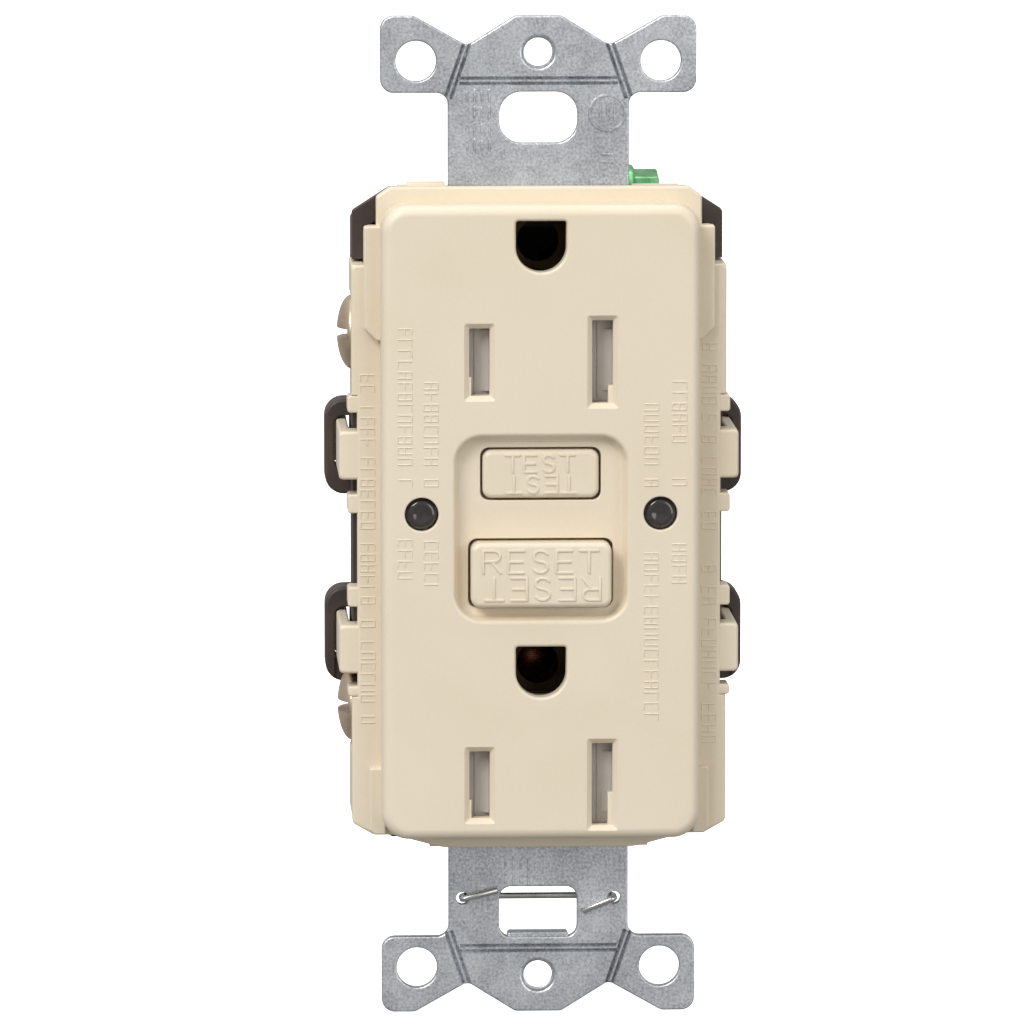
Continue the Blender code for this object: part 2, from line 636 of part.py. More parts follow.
def rear_housing(material):
    x0, x1, z0 = GROUND_POCKET
    half_h = FLANGE_HALF_H
    tiers = [(BODY_HALF_W, half_h - 0.3, 0.6 - half_h, RIM_Y, RIM_Y + 1.8),
             (BODY_HALF_W, half_h - 1.3, 1.7 - half_h, RIM_Y, 9.2),
             (BODY_HALF_W - 0.5, half_h - 3.4, 1.8 - half_h, 8.7, 12.0),
             (BODY_HALF_W - 0.9, half_h - 4.0, 4.0 - half_h, 11.5, REAR_Y)]
    loops = [(low - below, high + above)
             for (low, high), (below, above) in zip(LATCH_Z, LOOP_MARGIN)]
    adds = [prism("Y", housing_outline(*tier[:3]), *tier[3:]) for tier in tiers]
    for side in (-1, 1):
        for low, high in loops:
            outer = fillet([(side * (BODY_HALF_W - 1.7), low, 0), (side * LOOP_X, low, 2.0),
                            (side * LOOP_X, high, 2.0), (side * (BODY_HALF_W - 1.7), high, 0)])
            adds.append(prism("Y", outer, *LOOP_Y))
    pocket = block(x0, x1, RIM_Y - 1, REAR_Y + 1, z0, 40)
    body = carve(adds, [pocket])
    hollows = [prism("Y", housing_outline(*tier[:3], BODY_WALL), RIM_Y - 1,
                     tier[4] - BODY_WALL) for tier in tiers[1:]]
    hollow = carve(hollows, [block(x0 - BODY_WALL, x1 + BODY_WALL, RIM_Y - 2, REAR_Y + 1,
                                   z0 - BODY_WALL, 40)])
    cuts = [hollow]
    for side in (-1, 1):
        for low, high in loops:
            opening = fillet([(side * BODY_HALF_W, low + LOOP_WALL, 0),
                              (side * (LOOP_X - LOOP_WALL), low + LOOP_WALL, 1.0),
                              (side * (LOOP_X - LOOP_WALL), high - LOOP_WALL, 1.0),
                              (side * BODY_HALF_W, high - LOOP_WALL, 0)])
            cuts.append(prism("Y", opening, LOOP_Y[0] - 1, LOOP_Y[1] + 1))
        outside = side * (BODY_HALF_W + 1.7)
        for low, high in ((TAB_Z[0][1] - GAP, CORNER_CUT_Z + GAP),
                          (SKIRT_LOW_Z - GAP, TAB_Z[-1][0] + 0.4)):
            cuts.append(block(side * (SKIRT_HALF_W - 1.8), outside, RIM_Y - 1, SKIRT_Y + GAP,
                              low, high))
        for z in TERMINAL_Z.values():
            cuts.append(block(side * (TERMINAL_X + 2.1), outside, RIM_Y - 1, POCKET_Y,
                              z - POCKET_HALF_Z, z + POCKET_HALF_Z))
            for wire_z in (z - 2.4, z + 2.4):
                cuts.append(rod("Y", side * (BODY_HALF_W - 3.7), wire_z, REAR_Y - 3, REAR_Y + 1,
                                1.2, 12))
    return make("rear_housing", carve([body], cuts), material)


# ---- Carrier and contacts ---------------------------------------------------------
def middle_carrier(material):
    """Insulating block with a long pocket for each contact strip."""
    y0, y1 = CARRIER_Y
    z0, z1 = CARRIER_Z
    half = CARRIER_HALF_W
    floor = y1 - CARRIER_FLOOR
    inner, outer = BLADE_X - 2.47, BUS_X[1] + 0.4
    adds = [block(-half, half, y0, y1, z0, z1)]
    cuts = []
    for side in (-1, 1):
        cuts.append(block(side * inner, side * outer, y0 - 1, floor, z0 + 0.5, BLADE_Z[0] + 4))
        cuts.append(block(side * (inner + 0.05), side * (outer - 0.05), floor - 0.5, y1 + 1,
                          PAD_Z["load"] - 2.0, PAD_Z["load"] + 2.0))
        for z in TERMINAL_Z.values():
            cuts.append(block(side * (outer - 0.05), side * (half + 1), y0 - 1, y1 + 1,
                              z - POCKET_HALF_Z, z + POCKET_HALF_Z))
        cuts.append(block(side * (outer + 0.4), side * (half + 1), y0 - 1, y1 + 1,
                          LENS_Z - 2.2, LENS_Z + 2.2))
    cuts.append(rod("Y", 0, GROUND_Z[1], y0 - 1, y1 + 1, 3.2, 20))
    cuts.append(block(-5.1, 5.1, y0 - 1, 1.4, GROUND_Z[1] - 3.3, GROUND_Z[1] + 3.3))
    cuts.append(rod("Y", 0, RESET_Z, y0 - 1, y1 + 1, PIN_R + GAP, 16))
    return make("middle_carrier", carve(adds, cuts), material)


def terminal_hole(side, z):
    """Cutter for a terminal screw's shank through its plate."""
    return rod("X", SCREW_Y, z, *sorted((side * (TERMINAL_X - 1.4), side * (TERMINAL_X + 2.6))),
               SHANK_R + 0.2, 16)


def contact_strip(name, side, material):
    """Bus bar with a finger pair per outlet, the load terminal and a silver contact."""
    z_load = TERMINAL_Z["load"]
    adds = [block(side * BUS_X[0], side * BUS_X[1], *BUS_Y, BLADE_Z[1] - 2.8,
                  BLADE_Z[0] + 2.8)]
    for z in BLADE_Z:
        low, high = z - FINGER_HALF_Z + 0.02, z + FINGER_HALF_Z - 0.02
        near = BLADE_X - FINGER_GAP / 2
        far = BLADE_X + FINGER_GAP / 2
        adds.append(block(side * (near - STRIP_T), side * (BUS_X[1] - 0.1), BUS_Y[1] - STRIP_T,
                          BUS_Y[1] - 0.03, low, high))
        adds.append(block(side * (near - STRIP_T), side * near, *FINGER_Y, low + 0.1, high - 0.1))
        adds.append(block(side * far, side * (far + STRIP_T), *FINGER_Y, low + 0.1, high - 0.1))
    adds.append(block(side * (BUS_X[0] + 0.1), side * (TERMINAL_X + 0.5), BUS_Y[0] + 0.02,
                      BUS_Y[0] + STRIP_T, z_load - 2.6, z_load + 2.6))
    adds.append(block(side * TERMINAL_X, side * (TERMINAL_X + PLATE_T), BUS_Y[0], 12.4,
                      z_load - PLATE_HALF_Z, z_load + PLATE_HALF_Z))
    pad = PAD_Z["load"]
    adds.append(block(side * (BUS_X[0] + 0.02), side * (BUS_X[1] - 0.02), BUS_Y[1] - 1,
                      PAD_Y[1] - 0.02, pad - 1.6, pad + 1.6))
    adds.append(block(side * PAD_X[0], side * (BUS_X[1] - 0.1), *PAD_Y, pad - 1.5, pad + 1.5))
    adds.append(rod("Y", side * (PAD_X[0] + PAD_X[1]) / 2, pad, PAD_Y[1] - 0.3,
                    PAD_Y[1] + SILVER_T, SILVER_R, 12))
    cuts = [terminal_hole(side, z_load),
            rod("Y", side * LENS_X, LENS_Z, LED_Y - GAP, BUS_Y[1] + 1, LED_R + GAP, 16)]
    return make(name, carve(adds, cuts), material)


def ground_contact(name, z, material):
    """Slit socket for the ground pin, on a plate riveted to the strap."""
    adds = [block(-4.6, 4.6, GAP, 1.1, z - 3.0, z + 3.0),
            turn("Y", 0, z, [(GAP + 0.1, 2.2), (GAP + 0.1, 2.9), (7.5, 2.9), (7.5, 2.2)], 20)]
    cuts = [rod("Y", 0, z, GAP - 1, 1.5, 2.2, 20),
            block(-0.35, 0.35, 2.0, 9.5, z - 4, z + 4)]
    return make(name, carve(adds, cuts), material)


def line_terminal(name, side, material):
    """Plate behind the line screw, with a tail down to the circuit board."""
    z = TERMINAL_Z["line"]
    adds = [block(side * TERMINAL_X, side * (TERMINAL_X + PLATE_T), BUS_Y[0], 12.5,
                  z - PLATE_HALF_Z, z + PLATE_HALF_Z),
            block(side * (TERMINAL_X + 0.02), side * (TERMINAL_X + PLATE_T - 0.02), 12.0,
                  BOARD_Y[0] - 0.4, z + 0.6, z + 2.6)]
    return make(name, carve(adds, [terminal_hole(side, z)]), material)


def terminal_clamp(name, side, z, inward, material):
    """Wire clamp under a screw head, with a raised middle."""
    inner = TERMINAL_X + PLATE_T + CLAMP_SEAT + SCREW_TRAVEL - inward
    outer = inner + CLAMP_T
    adds = [block(side * inner, side * outer, SCREW_Y - CLAMP_HALF[0], SCREW_Y + CLAMP_HALF[0],
                  z - CLAMP_HALF[1], z + CLAMP_HALF[1])]
    cuts = [rod("X", SCREW_Y, z, *sorted((side * (inner - 1), side * (outer + 1))),
                SHANK_R + 0.2, 16)]
    for end in (-1, 1):
        wire_y = SCREW_Y + end * (CLAMP_HALF[0] - 1.1)
        cuts.append(rod("Z", side * (inner - 0.35), wire_y, z - 5, z + 5, 0.7, 10))
    return make(name, carve(adds, cuts), material, (side * outer, SCREW_Y, z))


def terminal_screw(name, side, z, inward, material, clamp):
    """Slotted round-head screw, its axis along x."""
    seat = TERMINAL_X + PLATE_T + CLAMP_SEAT + SCREW_TRAVEL - inward + CLAMP_T + 0.2
    profile = [(seat - 5.0, 0), (seat - 5.0, SHANK_R), (seat, SHANK_R), (seat, HEAD_R)]
    for k in range(5):
        angle = math.pi / 2 * k / 4
        profile.append((seat + 1.2 + (HEAD_H - 1.2) * math.sin(angle), HEAD_R * math.cos(angle)))
    profile[-1] = (seat + HEAD_H, 0)
    shape = turn("X", SCREW_Y, z, [(side * along, radius) for along, radius in profile], 20)
    slot = block(side * (seat + HEAD_H - 1.2), side * (seat + HEAD_H + 1), SCREW_Y - 5,
                 SCREW_Y + 5, z - 0.55, z + 0.55)
    return make(name, carve([shape], [slot]), material, (side * seat, SCREW_Y, z), clamp)


def ground_screw(material):
    """Green hex washer-head screw in the strap's bent tab."""
    y, z = GROUND_SCREW
    seat = BAND_HALF_W + 0.2
    washer = turn("X", y, z, [(seat - 3.6, 0), (seat - 3.6, SHANK_R), (seat, SHANK_R),
                              (seat, 3.9), (seat + 0.7, 3.8), (seat + 0.7, 0)], 20)
    head = prism("X", circle(y, z, 3.6, 6, math.radians(10)), seat + 0.5, seat + 3.3)
    slot = block(seat + 2.2, seat + 4, y - 5, y + 5, z - 0.55, z + 0.55)
    return make("ground_screw", carve([washer, head], [slot]), material, (seat, y, z))


# ---- Trip mechanism -----------------------------------------------------------------
def reset_pin(material, parent):
    y0, y1 = PIN_Y
    profile = [(y0, 0), (y0, PIN_R), (13.9, PIN_R), (13.9, 0.8), (14.7, 0.8), (14.7, PIN_R),
               (y1 - 0.6, PIN_R), (y1, 0.5), (y1, 0)]
    return make("reset_pin", turn("Y", 0, RESET_Z, profile, 16), material, (0, y0, RESET_Z),
                parent)


def reset_spring(material):
    start = FACE_Y + RECESS_DEPTH + RECESS_FLOOR + GAP + BUTTON_LIP_T + 0.1
    end = CARRIER_Y[0] - 0.1
    return make("reset_spring", coil("Y", 0, RESET_Z, start, end, 2.5, 0.22, 4), material,
                (0, end, RESET_Z))


def test_spring(material):
    """Leaf bridge under the test button, its feet on the carrier."""
    top = FACE_Y + RECESS_DEPTH + RECESS_FLOOR + GAP + BUTTON_LIP_T + 0.25
    foot = CARRIER_Y[0] - 0.2
    adds = [block(-5.8, 5.8, top, top + 0.35, TEST_Z - 1.5, TEST_Z + 1.5)]
    for side in (-1, 1):
        adds.append(block(side * 5.4, side * 5.78, top + 0.1, foot, TEST_Z - 1.48,
                          TEST_Z + 1.48))
        adds.append(block(side * 5.42, side * 7.2, foot - 0.35, foot - 0.01, TEST_Z - 1.46,
                          TEST_Z + 1.46))
    return make("test_spring", carve(adds), material, (0, foot, TEST_Z))


def contact_carriage(material):
    """Sliding block on the reset pin; its wings carry the bridge contacts."""
    front, back = CARRIAGE_Y
    low = LATCH_LOW_Z - 0.2 + PLUNGER_TRAVEL + 2 * GAP
    wing = PAD_X[1] + 0.4
    adds = [block(-3.4, 3.4, front, back, low, -1.4),
            block(-wing, wing, BRIDGE_Y[1] + GAP, BRIDGE_Y[1] + 1.0, -2.6, 3.0),
            block(-2.4, 2.4, BRIDGE_Y[1] + 0.4, back, 1.9, 2.9)]
    cuts = [rod("Y", 0, RESET_Z, front - 1, back + 1, PIN_R + 0.4, 16),
            block(-2.5, 2.5, LATCH_Y_RANGE[0] - 0.4, LATCH_Y_RANGE[1] + 0.5, -12, -1.0)]
    return make("contact_carriage", carve(adds, cuts), material, (0, 14.8, RESET_Z))


def bridge_contact(name, side, material, parent):
    """Copper bridge with two silver contacts facing the fixed ones."""
    x = side * (PAD_X[0] + PAD_X[1]) / 2
    front, back = BRIDGE_Y
    adds = [block(side * PAD_X[0], side * PAD_X[1], front, back, PAD_Z["load"] - 1.9,
                  PAD_Z["line"] + 1.5)]
    adds += [rod("Y", x, z, front - SILVER_T, front + 0.2, SILVER_R, 12)
             for z in PAD_Z.values()]
    return make(name, carve(adds), material, (x, back, RESET_Z), parent)


def latch_plate(material):
    y0, y1 = LATCH_Y_RANGE
    adds = [block(-2.2, 2.2, y0, y1, LATCH_LOW_Z, -1.9)]
    cuts = [block(-PIN_R - GAP, PIN_R + GAP, y0 - 1, y1 + 1, RESET_Z - 3.2, RESET_Z + 1.6)]
    return make("latch_plate", carve(adds, cuts), material, (0, (y0 + y1) / 2, LATCH_LOW_Z))


def solenoid(bobbin_mat, coil_mat, frame_mat, plunger_mat):
    z0, z1 = SOLENOID_Z
    y = SOLENOID_Y
    plate = 0.8
    low, high = z0 + plate + GAP, z1 - plate - GAP
    frame = [block(-4.4, 5.8, y - 3.9, y + 3.9, z0, z0 + plate),
             block(-4.4, 5.8, y - 3.9, y + 3.9, z1 - plate, z1),
             block(5.0, 5.78, y - 3.88, y + 3.88, z0 + 0.1, z1 - 0.1)]
    make("solenoid_frame", carve(frame, [rod("Z", 0, y, z1 - 2, z1 + 1, 2.1, 16)]), frame_mat)
    profile = [(low, 2.2), (low, 4.4), (low + 0.8, 4.4), (low + 0.8, 2.7), (high - 0.8, 2.7),
               (high - 0.8, 4.4), (high, 4.4), (high, 2.2)]
    make("solenoid_bobbin", turn("Z", 0, y, profile, 20), bobbin_mat)
    wound = [(low + 1.0, 2.9), (low + 1.0, 4.1), (high - 1.0, 4.1), (high - 1.0, 2.9)]
    make("solenoid_coil", turn("Z", 0, y, wound, 20), coil_mat)
    tip = LATCH_LOW_Z - 0.2
    return make("solenoid_plunger", rod("Z", 0, y, low + 2.0, tip, 1.8, 16), plunger_mat,
                (0, y, tip))


# ---- Circuit board ---------------------------------------------------------------------
def circuit_board(material):
    cuts = [rod("Y", side * LENS_X, 22.4, BOARD_Y[0] - 1, BOARD_Y[1] + 1, 0.8, 10)
            for side in (-1, 1)]
    return make("circuit_board", carve([block(-BOARD_HALF_W, BOARD_HALF_W, *BOARD_Y,
                                              *BOARD_Z)], cuts), material)


def core_ring(name, start, end, material):
    inner, outer = CORE_R
    profile = [(start, inner + 0.3), (start, outer - 0.3), (start + 0.3, outer),
               (end - 0.3, outer), (end, outer - 0.3), (end, inner + 0.3),
               (end - 0.3, inner), (start + 0.3, inner)]
    return make(name, turn("Y", 0, CORE_Z, profile, 24), material)


def core_cup(material):
    sleeve_in, sleeve_out, cup_in, cup_out = CUP_R
    y0, y1 = CUP_Y
    floor = y1 - 0.6
    profile = [(y0, cup_in), (y0, cup_out), (y1, cup_out), (y1, sleeve_in), (y0, sleeve_in),
               (y0, sleeve_out), (floor, sleeve_out), (floor, cup_in)]
    return make("core_cup", turn("Y", 0, CORE_Z, profile, 24), material)


def core_conductor(name, side, material):
    """Strap from a fixed line contact, through both cores, to the board."""
    x0, x1 = PAD_X
    inner = (1.2, 2.4)
    adds = [block(side * x0, side * x1, *PAD_Y, PAD_Z["line"] - 1.5, CORE_Z + 1.5),
            block(side * inner[0], side * (x0 + 0.5), PAD_Y[0] + 0.02, PAD_Y[1] - 0.02,
                  CORE_Z - 1.48, CORE_Z + 1.48),
            block(side * (inner[0] + 0.02), side * inner[1], PAD_Y[0] + 0.1,
                  BOARD_Y[0] - 0.4, CORE_Z - 1.4, CORE_Z + 1.4),
            rod("Y", side * (x0 + x1) / 2, PAD_Z["line"], PAD_Y[1] - 0.3,
                PAD_Y[1] + SILVER_T, SILVER_R, 12)]
    return make(name, carve(adds), material)


def leads(spots, start, sides=6):
    """Straight wire leads from a component down to the board."""
    return [rod("Y", x, z, start, BOARD_Y[0] - 0.1, 0.3, sides) for x, z in spots]


def led(name, side, material):
    x = side * LENS_X
    y = LED_Y
    profile = [(y, 0), (y + 0.3, 0.9), (y + 1.0, 1.4), (y + 1.6, 1.5), (y + 4.0, 1.5),
               (y + 4.0, LED_R), (y + 4.8, LED_R), (y + 4.8, 0)]
    body = turn("Y", x, LENS_Z, profile, 16)
    return make(name, carve([body] + leads([(x - 0.6, LENS_Z), (x + 0.6, LENS_Z)], y + 4.4)),
                material)


def components(ceramic, film, sleeve, epoxy, resistor):
    board = BOARD_Y[0]
    disc = rod("X", 14.9, -19.0, -11.4, -7.4, 4.4, 20)
    make("varistor", carve([disc] + leads([(-9.4, -21.5), (-9.4, -16.5)], 17.5)), ceramic)
    make("film_capacitor", carve([block(7.2, 12.4, 12.0, board - 0.4, -27.0, -14.0)]
                                 + leads([(9.8, -25.0), (9.8, -16.0)], 19.0)), film)
    foot = board - 0.6
    can = turn("Y", -9.9, -8.6, [(foot - 7.7, 0), (foot - 7.7, 2.9), (foot - 7.4, 3.2),
                                 (foot - 1.1, 3.2), (foot - 0.8, 2.9), (foot - 0.5, 3.2),
                                 (foot, 3.2), (foot, 0)], 20)
    make("electrolytic_capacitor", can, sleeve)
    legs = [block(6.2, 12.0, board - 1.1, board - 0.1, z - 0.2, z + 0.2)
            for z in (-11.3, -10.0, -8.7, -7.4)]
    make("control_chip", carve([block(6.9, 11.3, board - 2.1, board - 0.5, -12.0, -6.7)]
                               + legs), epoxy)
    can = [(9.3 + 2.3 * math.cos(math.radians(a)), -3.9 + 2.3 * math.sin(math.radians(a)))
           for a in range(-40, 221, 20)]
    make("thyristor", carve([prism("Y", can, 15.2, 19.0)]
                            + leads([(8.1, -4.1), (9.3, -4.1), (10.5, -4.1)], 18.5)), epoxy)
    body = turn("Z", -11.7, 18.6, [(8.2, 0), (8.2, 1.2), (9.2, 1.2), (9.5, 1.0), (12.5, 1.0),
                                   (12.8, 1.2), (13.8, 1.2), (13.8, 0)], 14)
    make("test_resistor", body, resistor)


def main():
    for thing in list(bpy.data.objects):
        bpy.data.objects.remove(thing, do_unlink=True)

    almond = plastic("almond_plastic", (0.76, 0.68, 0.53), 0.38)
    brown = plastic("brown_plastic", (0.055, 0.038, 0.028), 0.5)
    zinc = metal("galvanised_steel", (0.50, 0.51, 0.53), 0.42)
    spring_steel = metal("spring_steel", (0.55, 0.54, 0.52), 0.3)
    smoke = plastic("smoke_lens", (0.035, 0.030, 0.028), 0.12)
    nylon = plastic("grey_nylon", (0.47, 0.43, 0.42), 0.5)
    carrier = plastic("cream_phenolic", (0.55, 0.50, 0.42), 0.55)
    brass = metal("brass", (0.72, 0.52, 0.22), 0.3)
    nickel = metal("nickel_plate", (0.62, 0.56, 0.49), 0.3)
    green = metal("green_steel", (0.10, 0.42, 0.13), 0.4)
    copper = metal("copper", (0.80, 0.40, 0.24), 0.3)
    steel = metal("bright_steel", (0.56, 0.56, 0.57), 0.28)
    board = plastic("board_laminate", (0.05, 0.22, 0.09), 0.45)
    epoxy = plastic("black_epoxy", (0.02, 0.02, 0.022), 0.4)
    disc_blue = plastic("disc_coating", (0.05, 0.14, 0.45), 0.35)
    film_yellow = plastic("film_box", (0.70, 0.50, 0.06), 0.4)
    sleeve = plastic("capacitor_sleeve", (0.03, 0.05, 0.12), 0.35)
    resistor = plastic("resistor_body", (0.52, 0.40, 0.26), 0.45)
    clear = plastic("led_resin", (0.75, 0.75, 0.72), 0.15)

    front_cover(almond)
    rear_housing(brown)
    mounting_strap(zinc)
    grounding_clip(spring_steel)
    button("test_button", TEST_SIZE, TEST_Z, TEST_TOP_Y, almond)
    reset = button("reset_button", RESET_SIZE, RESET_Z, RESET_TOP_Y, almond)
    reset_pin(steel, reset)
    reset_spring(spring_steel)
    test_spring(copper)

    for side, word in ((-1, "left"), (1, "right")):
        lens(word + "_lens", side, smoke)
        led(word + "_led", side, clear)
    for z, ground_z, word in zip(BLADE_Z, GROUND_Z, ("upper", "lower")):
        shutter(word + "_shutter", z, nylon)
        shutter_tray(word + "_shutter_tray", z, carrier)
        shutter_spring(word + "_shutter_spring", z, spring_steel)
        ground_contact(word + "_ground_contact", ground_z, brass)

    middle_carrier(carrier)
    for side, word, finish, inward in ((-1, "hot", brass, 0.0),
                                       (1, "neutral", nickel, SCREW_TRAVEL)):
        contact_strip(word + "_contact_strip", side, brass)
        line_terminal("line_" + word + "_terminal", side, brass)
        core_conductor(word + "_core_conductor", side, copper)
        for feed, z in TERMINAL_Z.items():
            name = feed + "_" + word
            clamp = terminal_clamp(name + "_clamp", side, z, inward, finish)
            terminal_screw(name + "_screw", side, z, inward, finish, clamp)
    ground_screw(green)

    carriage = contact_carriage(epoxy)
    for side, word in ((-1, "hot"), (1, "neutral")):
        bridge_contact(word + "_bridge_contact", side, copper, carriage)
    for side, word in ((-1, "left"), (1, "right")):
        wound = coil("Y", side * 4.6, 1.0, CARRIER_Y[1] + 0.15, 14.0, 0.7, 0.15, 5)
        make(word + "_carriage_spring", wound, spring_steel, (side * 4.6, CARRIER_Y[1], 1.0))
    latch_plate(steel)
    make("latch_spring", coil("Z", 0, 15.8, -1.75, 1.75, 0.6, 0.15, 4), spring_steel,
         (0, 15.8, 1.75))
    solenoid(nylon, copper, steel, steel)

    circuit_board(board)
    core_cup(epoxy)
    core_ring("sensing_core", 12.0, 15.2, film_yellow)
    core_ring("neutral_core", 15.6, 18.8, disc_blue)
    components(disc_blue, film_yellow, sleeve, epoxy, resistor)


main()
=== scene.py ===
"""Looks for a duplex safety receptacle: a moulded almond cover with test and reset buttons, a
galvanised mounting strap, a dark rear housing with screw terminals, and the mechanism inside.

Sizes are in millimetres, and MM turns them into metres as each mesh is made. +X is right, +Z is
up and the face looks along -Y. Every finished piece keeps its place in its mesh, so patterns on
Object coordinates run on from one piece to the next at their real size.
"""
import logging
import math
from dataclasses import dataclass, field
from enum import Enum

import bmesh
import bpy
from mathutils import Matrix, Vector


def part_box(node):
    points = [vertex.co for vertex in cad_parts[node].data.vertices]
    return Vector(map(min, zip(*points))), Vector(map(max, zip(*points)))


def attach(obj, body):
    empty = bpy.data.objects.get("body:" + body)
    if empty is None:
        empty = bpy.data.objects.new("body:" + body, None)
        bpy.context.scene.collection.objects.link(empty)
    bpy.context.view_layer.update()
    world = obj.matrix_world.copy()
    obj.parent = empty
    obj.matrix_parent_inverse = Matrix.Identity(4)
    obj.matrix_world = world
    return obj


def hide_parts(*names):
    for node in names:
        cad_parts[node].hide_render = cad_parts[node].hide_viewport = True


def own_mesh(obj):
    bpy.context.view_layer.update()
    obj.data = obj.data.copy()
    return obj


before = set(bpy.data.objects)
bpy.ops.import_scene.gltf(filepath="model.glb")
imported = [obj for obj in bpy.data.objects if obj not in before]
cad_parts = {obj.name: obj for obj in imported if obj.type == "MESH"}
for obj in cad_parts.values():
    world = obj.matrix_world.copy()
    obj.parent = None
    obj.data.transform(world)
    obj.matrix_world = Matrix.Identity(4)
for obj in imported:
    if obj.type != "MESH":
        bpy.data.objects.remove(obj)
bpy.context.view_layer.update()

MM = 0.001
GAP = 0.3
# Places in millimetres that several sub-assemblies share.
BLADE_X = 6.37
BLADE_Z = (16.78, -27.33)
GROUND_Z = (28.75, -15.5)
LENS_X, LENS_Z = 12.37, 1.0
LATCH_Z = ((4.1, 9.2), (-16.2, -11.1))
SCREW_Z = (18.8, -20.4)
TEST_OPENING = (12.5, 5.5, 5.05)
RESET_OPENING = (15.0, 7.2, -5.3)
log = logging.getLogger("receptacle")

Point = tuple[float, float]
Outline = list[Point]
Spot = tuple[float, float, float]
Colour = tuple[float, float, float, float]
Solid = bmesh.types.BMesh
Thing = bpy.types.Object
Tree = bpy.types.NodeTree
Node = bpy.types.Node
Socket = bpy.types.NodeSocket


class Body(Enum):
    """The moving bodies that pieces ride on."""

    DEVICE = "device"
    TEST = "test_push"
    RESET = "reset_push"
    UPPER_GUARD = "upper_guard"
    LOWER_GUARD = "lower_guard"
    CARRIAGE = "carriage"
    GREEN_SCREW = "green_screw"
    LINE_HOT_CLAMP = "line_hot_clamp_body"
    LINE_HOT_SCREW = "line_hot_screw_body"
    LINE_NEUTRAL_CLAMP = "line_neutral_clamp_body"
    LINE_NEUTRAL_SCREW = "line_neutral_screw_body"
    LOAD_HOT_CLAMP = "load_hot_clamp_body"
    LOAD_HOT_SCREW = "load_hot_screw_body"
    LOAD_NEUTRAL_CLAMP = "load_neutral_clamp_body"
    LOAD_NEUTRAL_SCREW = "load_neutral_screw_body"


class Axis(Enum):
    """A direction to build along, with the turn that takes +Z to it."""

    X = "X"
    Y = "Y"
    Z = "Z"

    def turn(self) -> Matrix:
        """Rotation from +Z to this axis."""
        if self is Axis.X:
            return Matrix.Rotation(math.pi / 2, 4, "Y")
        if self is Axis.Y:
            return Matrix.Rotation(-math.pi / 2, 4, "X")
        return Matrix.Identity(4)

    def spot(self, along: float, u: float, v: float) -> Spot:
        """x, y, z of a point given along this axis and across it, in x, y, z order."""
        return {"X": (along, u, v), "Y": (u, along, v), "Z": (u, v, along)}[self.value]


# ---- Outlines ----------------------------------------------------------------------------
def unit(u: float, v: float) -> Point:
    """Direction of (u, v) with length one."""
    length = math.hypot(u, v)
    return u / length, v / length


def rectangle(u0: float, u1: float, v0: float, v1: float) -> Outline:
    """Corners of a rectangle, whichever way round its sides are given."""
    u0, u1, v0, v1 = min(u0, u1), max(u0, u1), min(v0, v1), max(v0, v1)
    return [(u0, v0), (u1, v0), (u1, v1), (u0, v1)]


def circle(cu: float, cv: float, radius: float, sides: int = 48) -> Outline:
    """Regular outline of a round shape."""
    step = 2 * math.pi / sides
    return [(cu + radius * math.cos(i * step), cv + radius * math.sin(i * step))
            for i in range(sides)]


def rounded(corners: list[tuple[float, float, float]], steps: int = 8) -> Outline:
    """Outline whose corners are arcs.

    Args:
        corners: (u, v, radius) of each corner in order; a radius of 0 keeps it sharp.
        steps: Straight pieces in each arc.

    Returns:
        The points of the outline.
    """
    outline: Outline = []
    count = len(corners)
    for i, (u, v, radius) in enumerate(corners):
        if radius <= 0:
            outline.append((u, v))
            continue
        before = unit(corners[i - 1][0] - u, corners[i - 1][1] - v)
        after = unit(corners[(i + 1) % count][0] - u, corners[(i + 1) % count][1] - v)
        cosine = max(-1.0, min(1.0, before[0] * after[0] + before[1] * after[1]))
        half = math.acos(cosine) / 2
        inward = unit(before[0] + after[0], before[1] + after[1])
        cu = u + inward[0] * radius / math.sin(half)
        cv = v + inward[1] * radius / math.sin(half)
        reach = radius / math.tan(half)
        first = math.atan2(v + before[1] * reach - cv, u + before[0] * reach - cu)
        last = math.atan2(v + after[1] * reach - cv, u + after[0] * reach - cu)
        sweep = (last - first + math.pi) % (2 * math.pi) - math.pi
        outline += [(cu + radius * math.cos(first + sweep * k / steps),
                     cv + radius * math.sin(first + sweep * k / steps))
                    for k in range(steps + 1)]
    return outline


def rounded_rectangle(cu: float, cv: float, width: float, height: float, radius: float,
                      steps: int = 8) -> Outline:
    """Rectangle about a middle point, its four corners rounded alike."""
    return rounded([(u, v, radius) for u, v in rectangle(cu - width / 2, cu + width / 2,
                                                         cv - height / 2, cv + height / 2)],
                   steps)


def mirrored(right: list[tuple[float, ...]]) -> list[tuple[float, ...]]:
    """Whole outline from its right half, which is listed from top to bottom."""
    return right + [(-point[0],) + tuple(point[1:]) for point in reversed(right)]


def inset(outline: Outline, distance: float) -> Outline:
    """Outline moved inward by a distance, or outward where it is negative."""
    count = len(outline)
    area = sum(outline[i - 1][0] * outline[i][1] - outline[i][0] * outline[i - 1][1]
               for i in range(count))
    inward = distance if area > 0 else -distance
    moved = []
    for i, (u, v) in enumerate(outline):
        before = unit(u - outline[i - 1][0], v - outline[i - 1][1])
        after = unit(outline[(i + 1) % count][0] - u, outline[(i + 1) % count][1] - v)
        normals = (-before[1] - after[1], before[0] + after[0])
        share = 1 + before[0] * after[0] + before[1] * after[1]
        moved.append((u + normals[0] * inward / share, v + normals[1] * inward / share))
    return moved


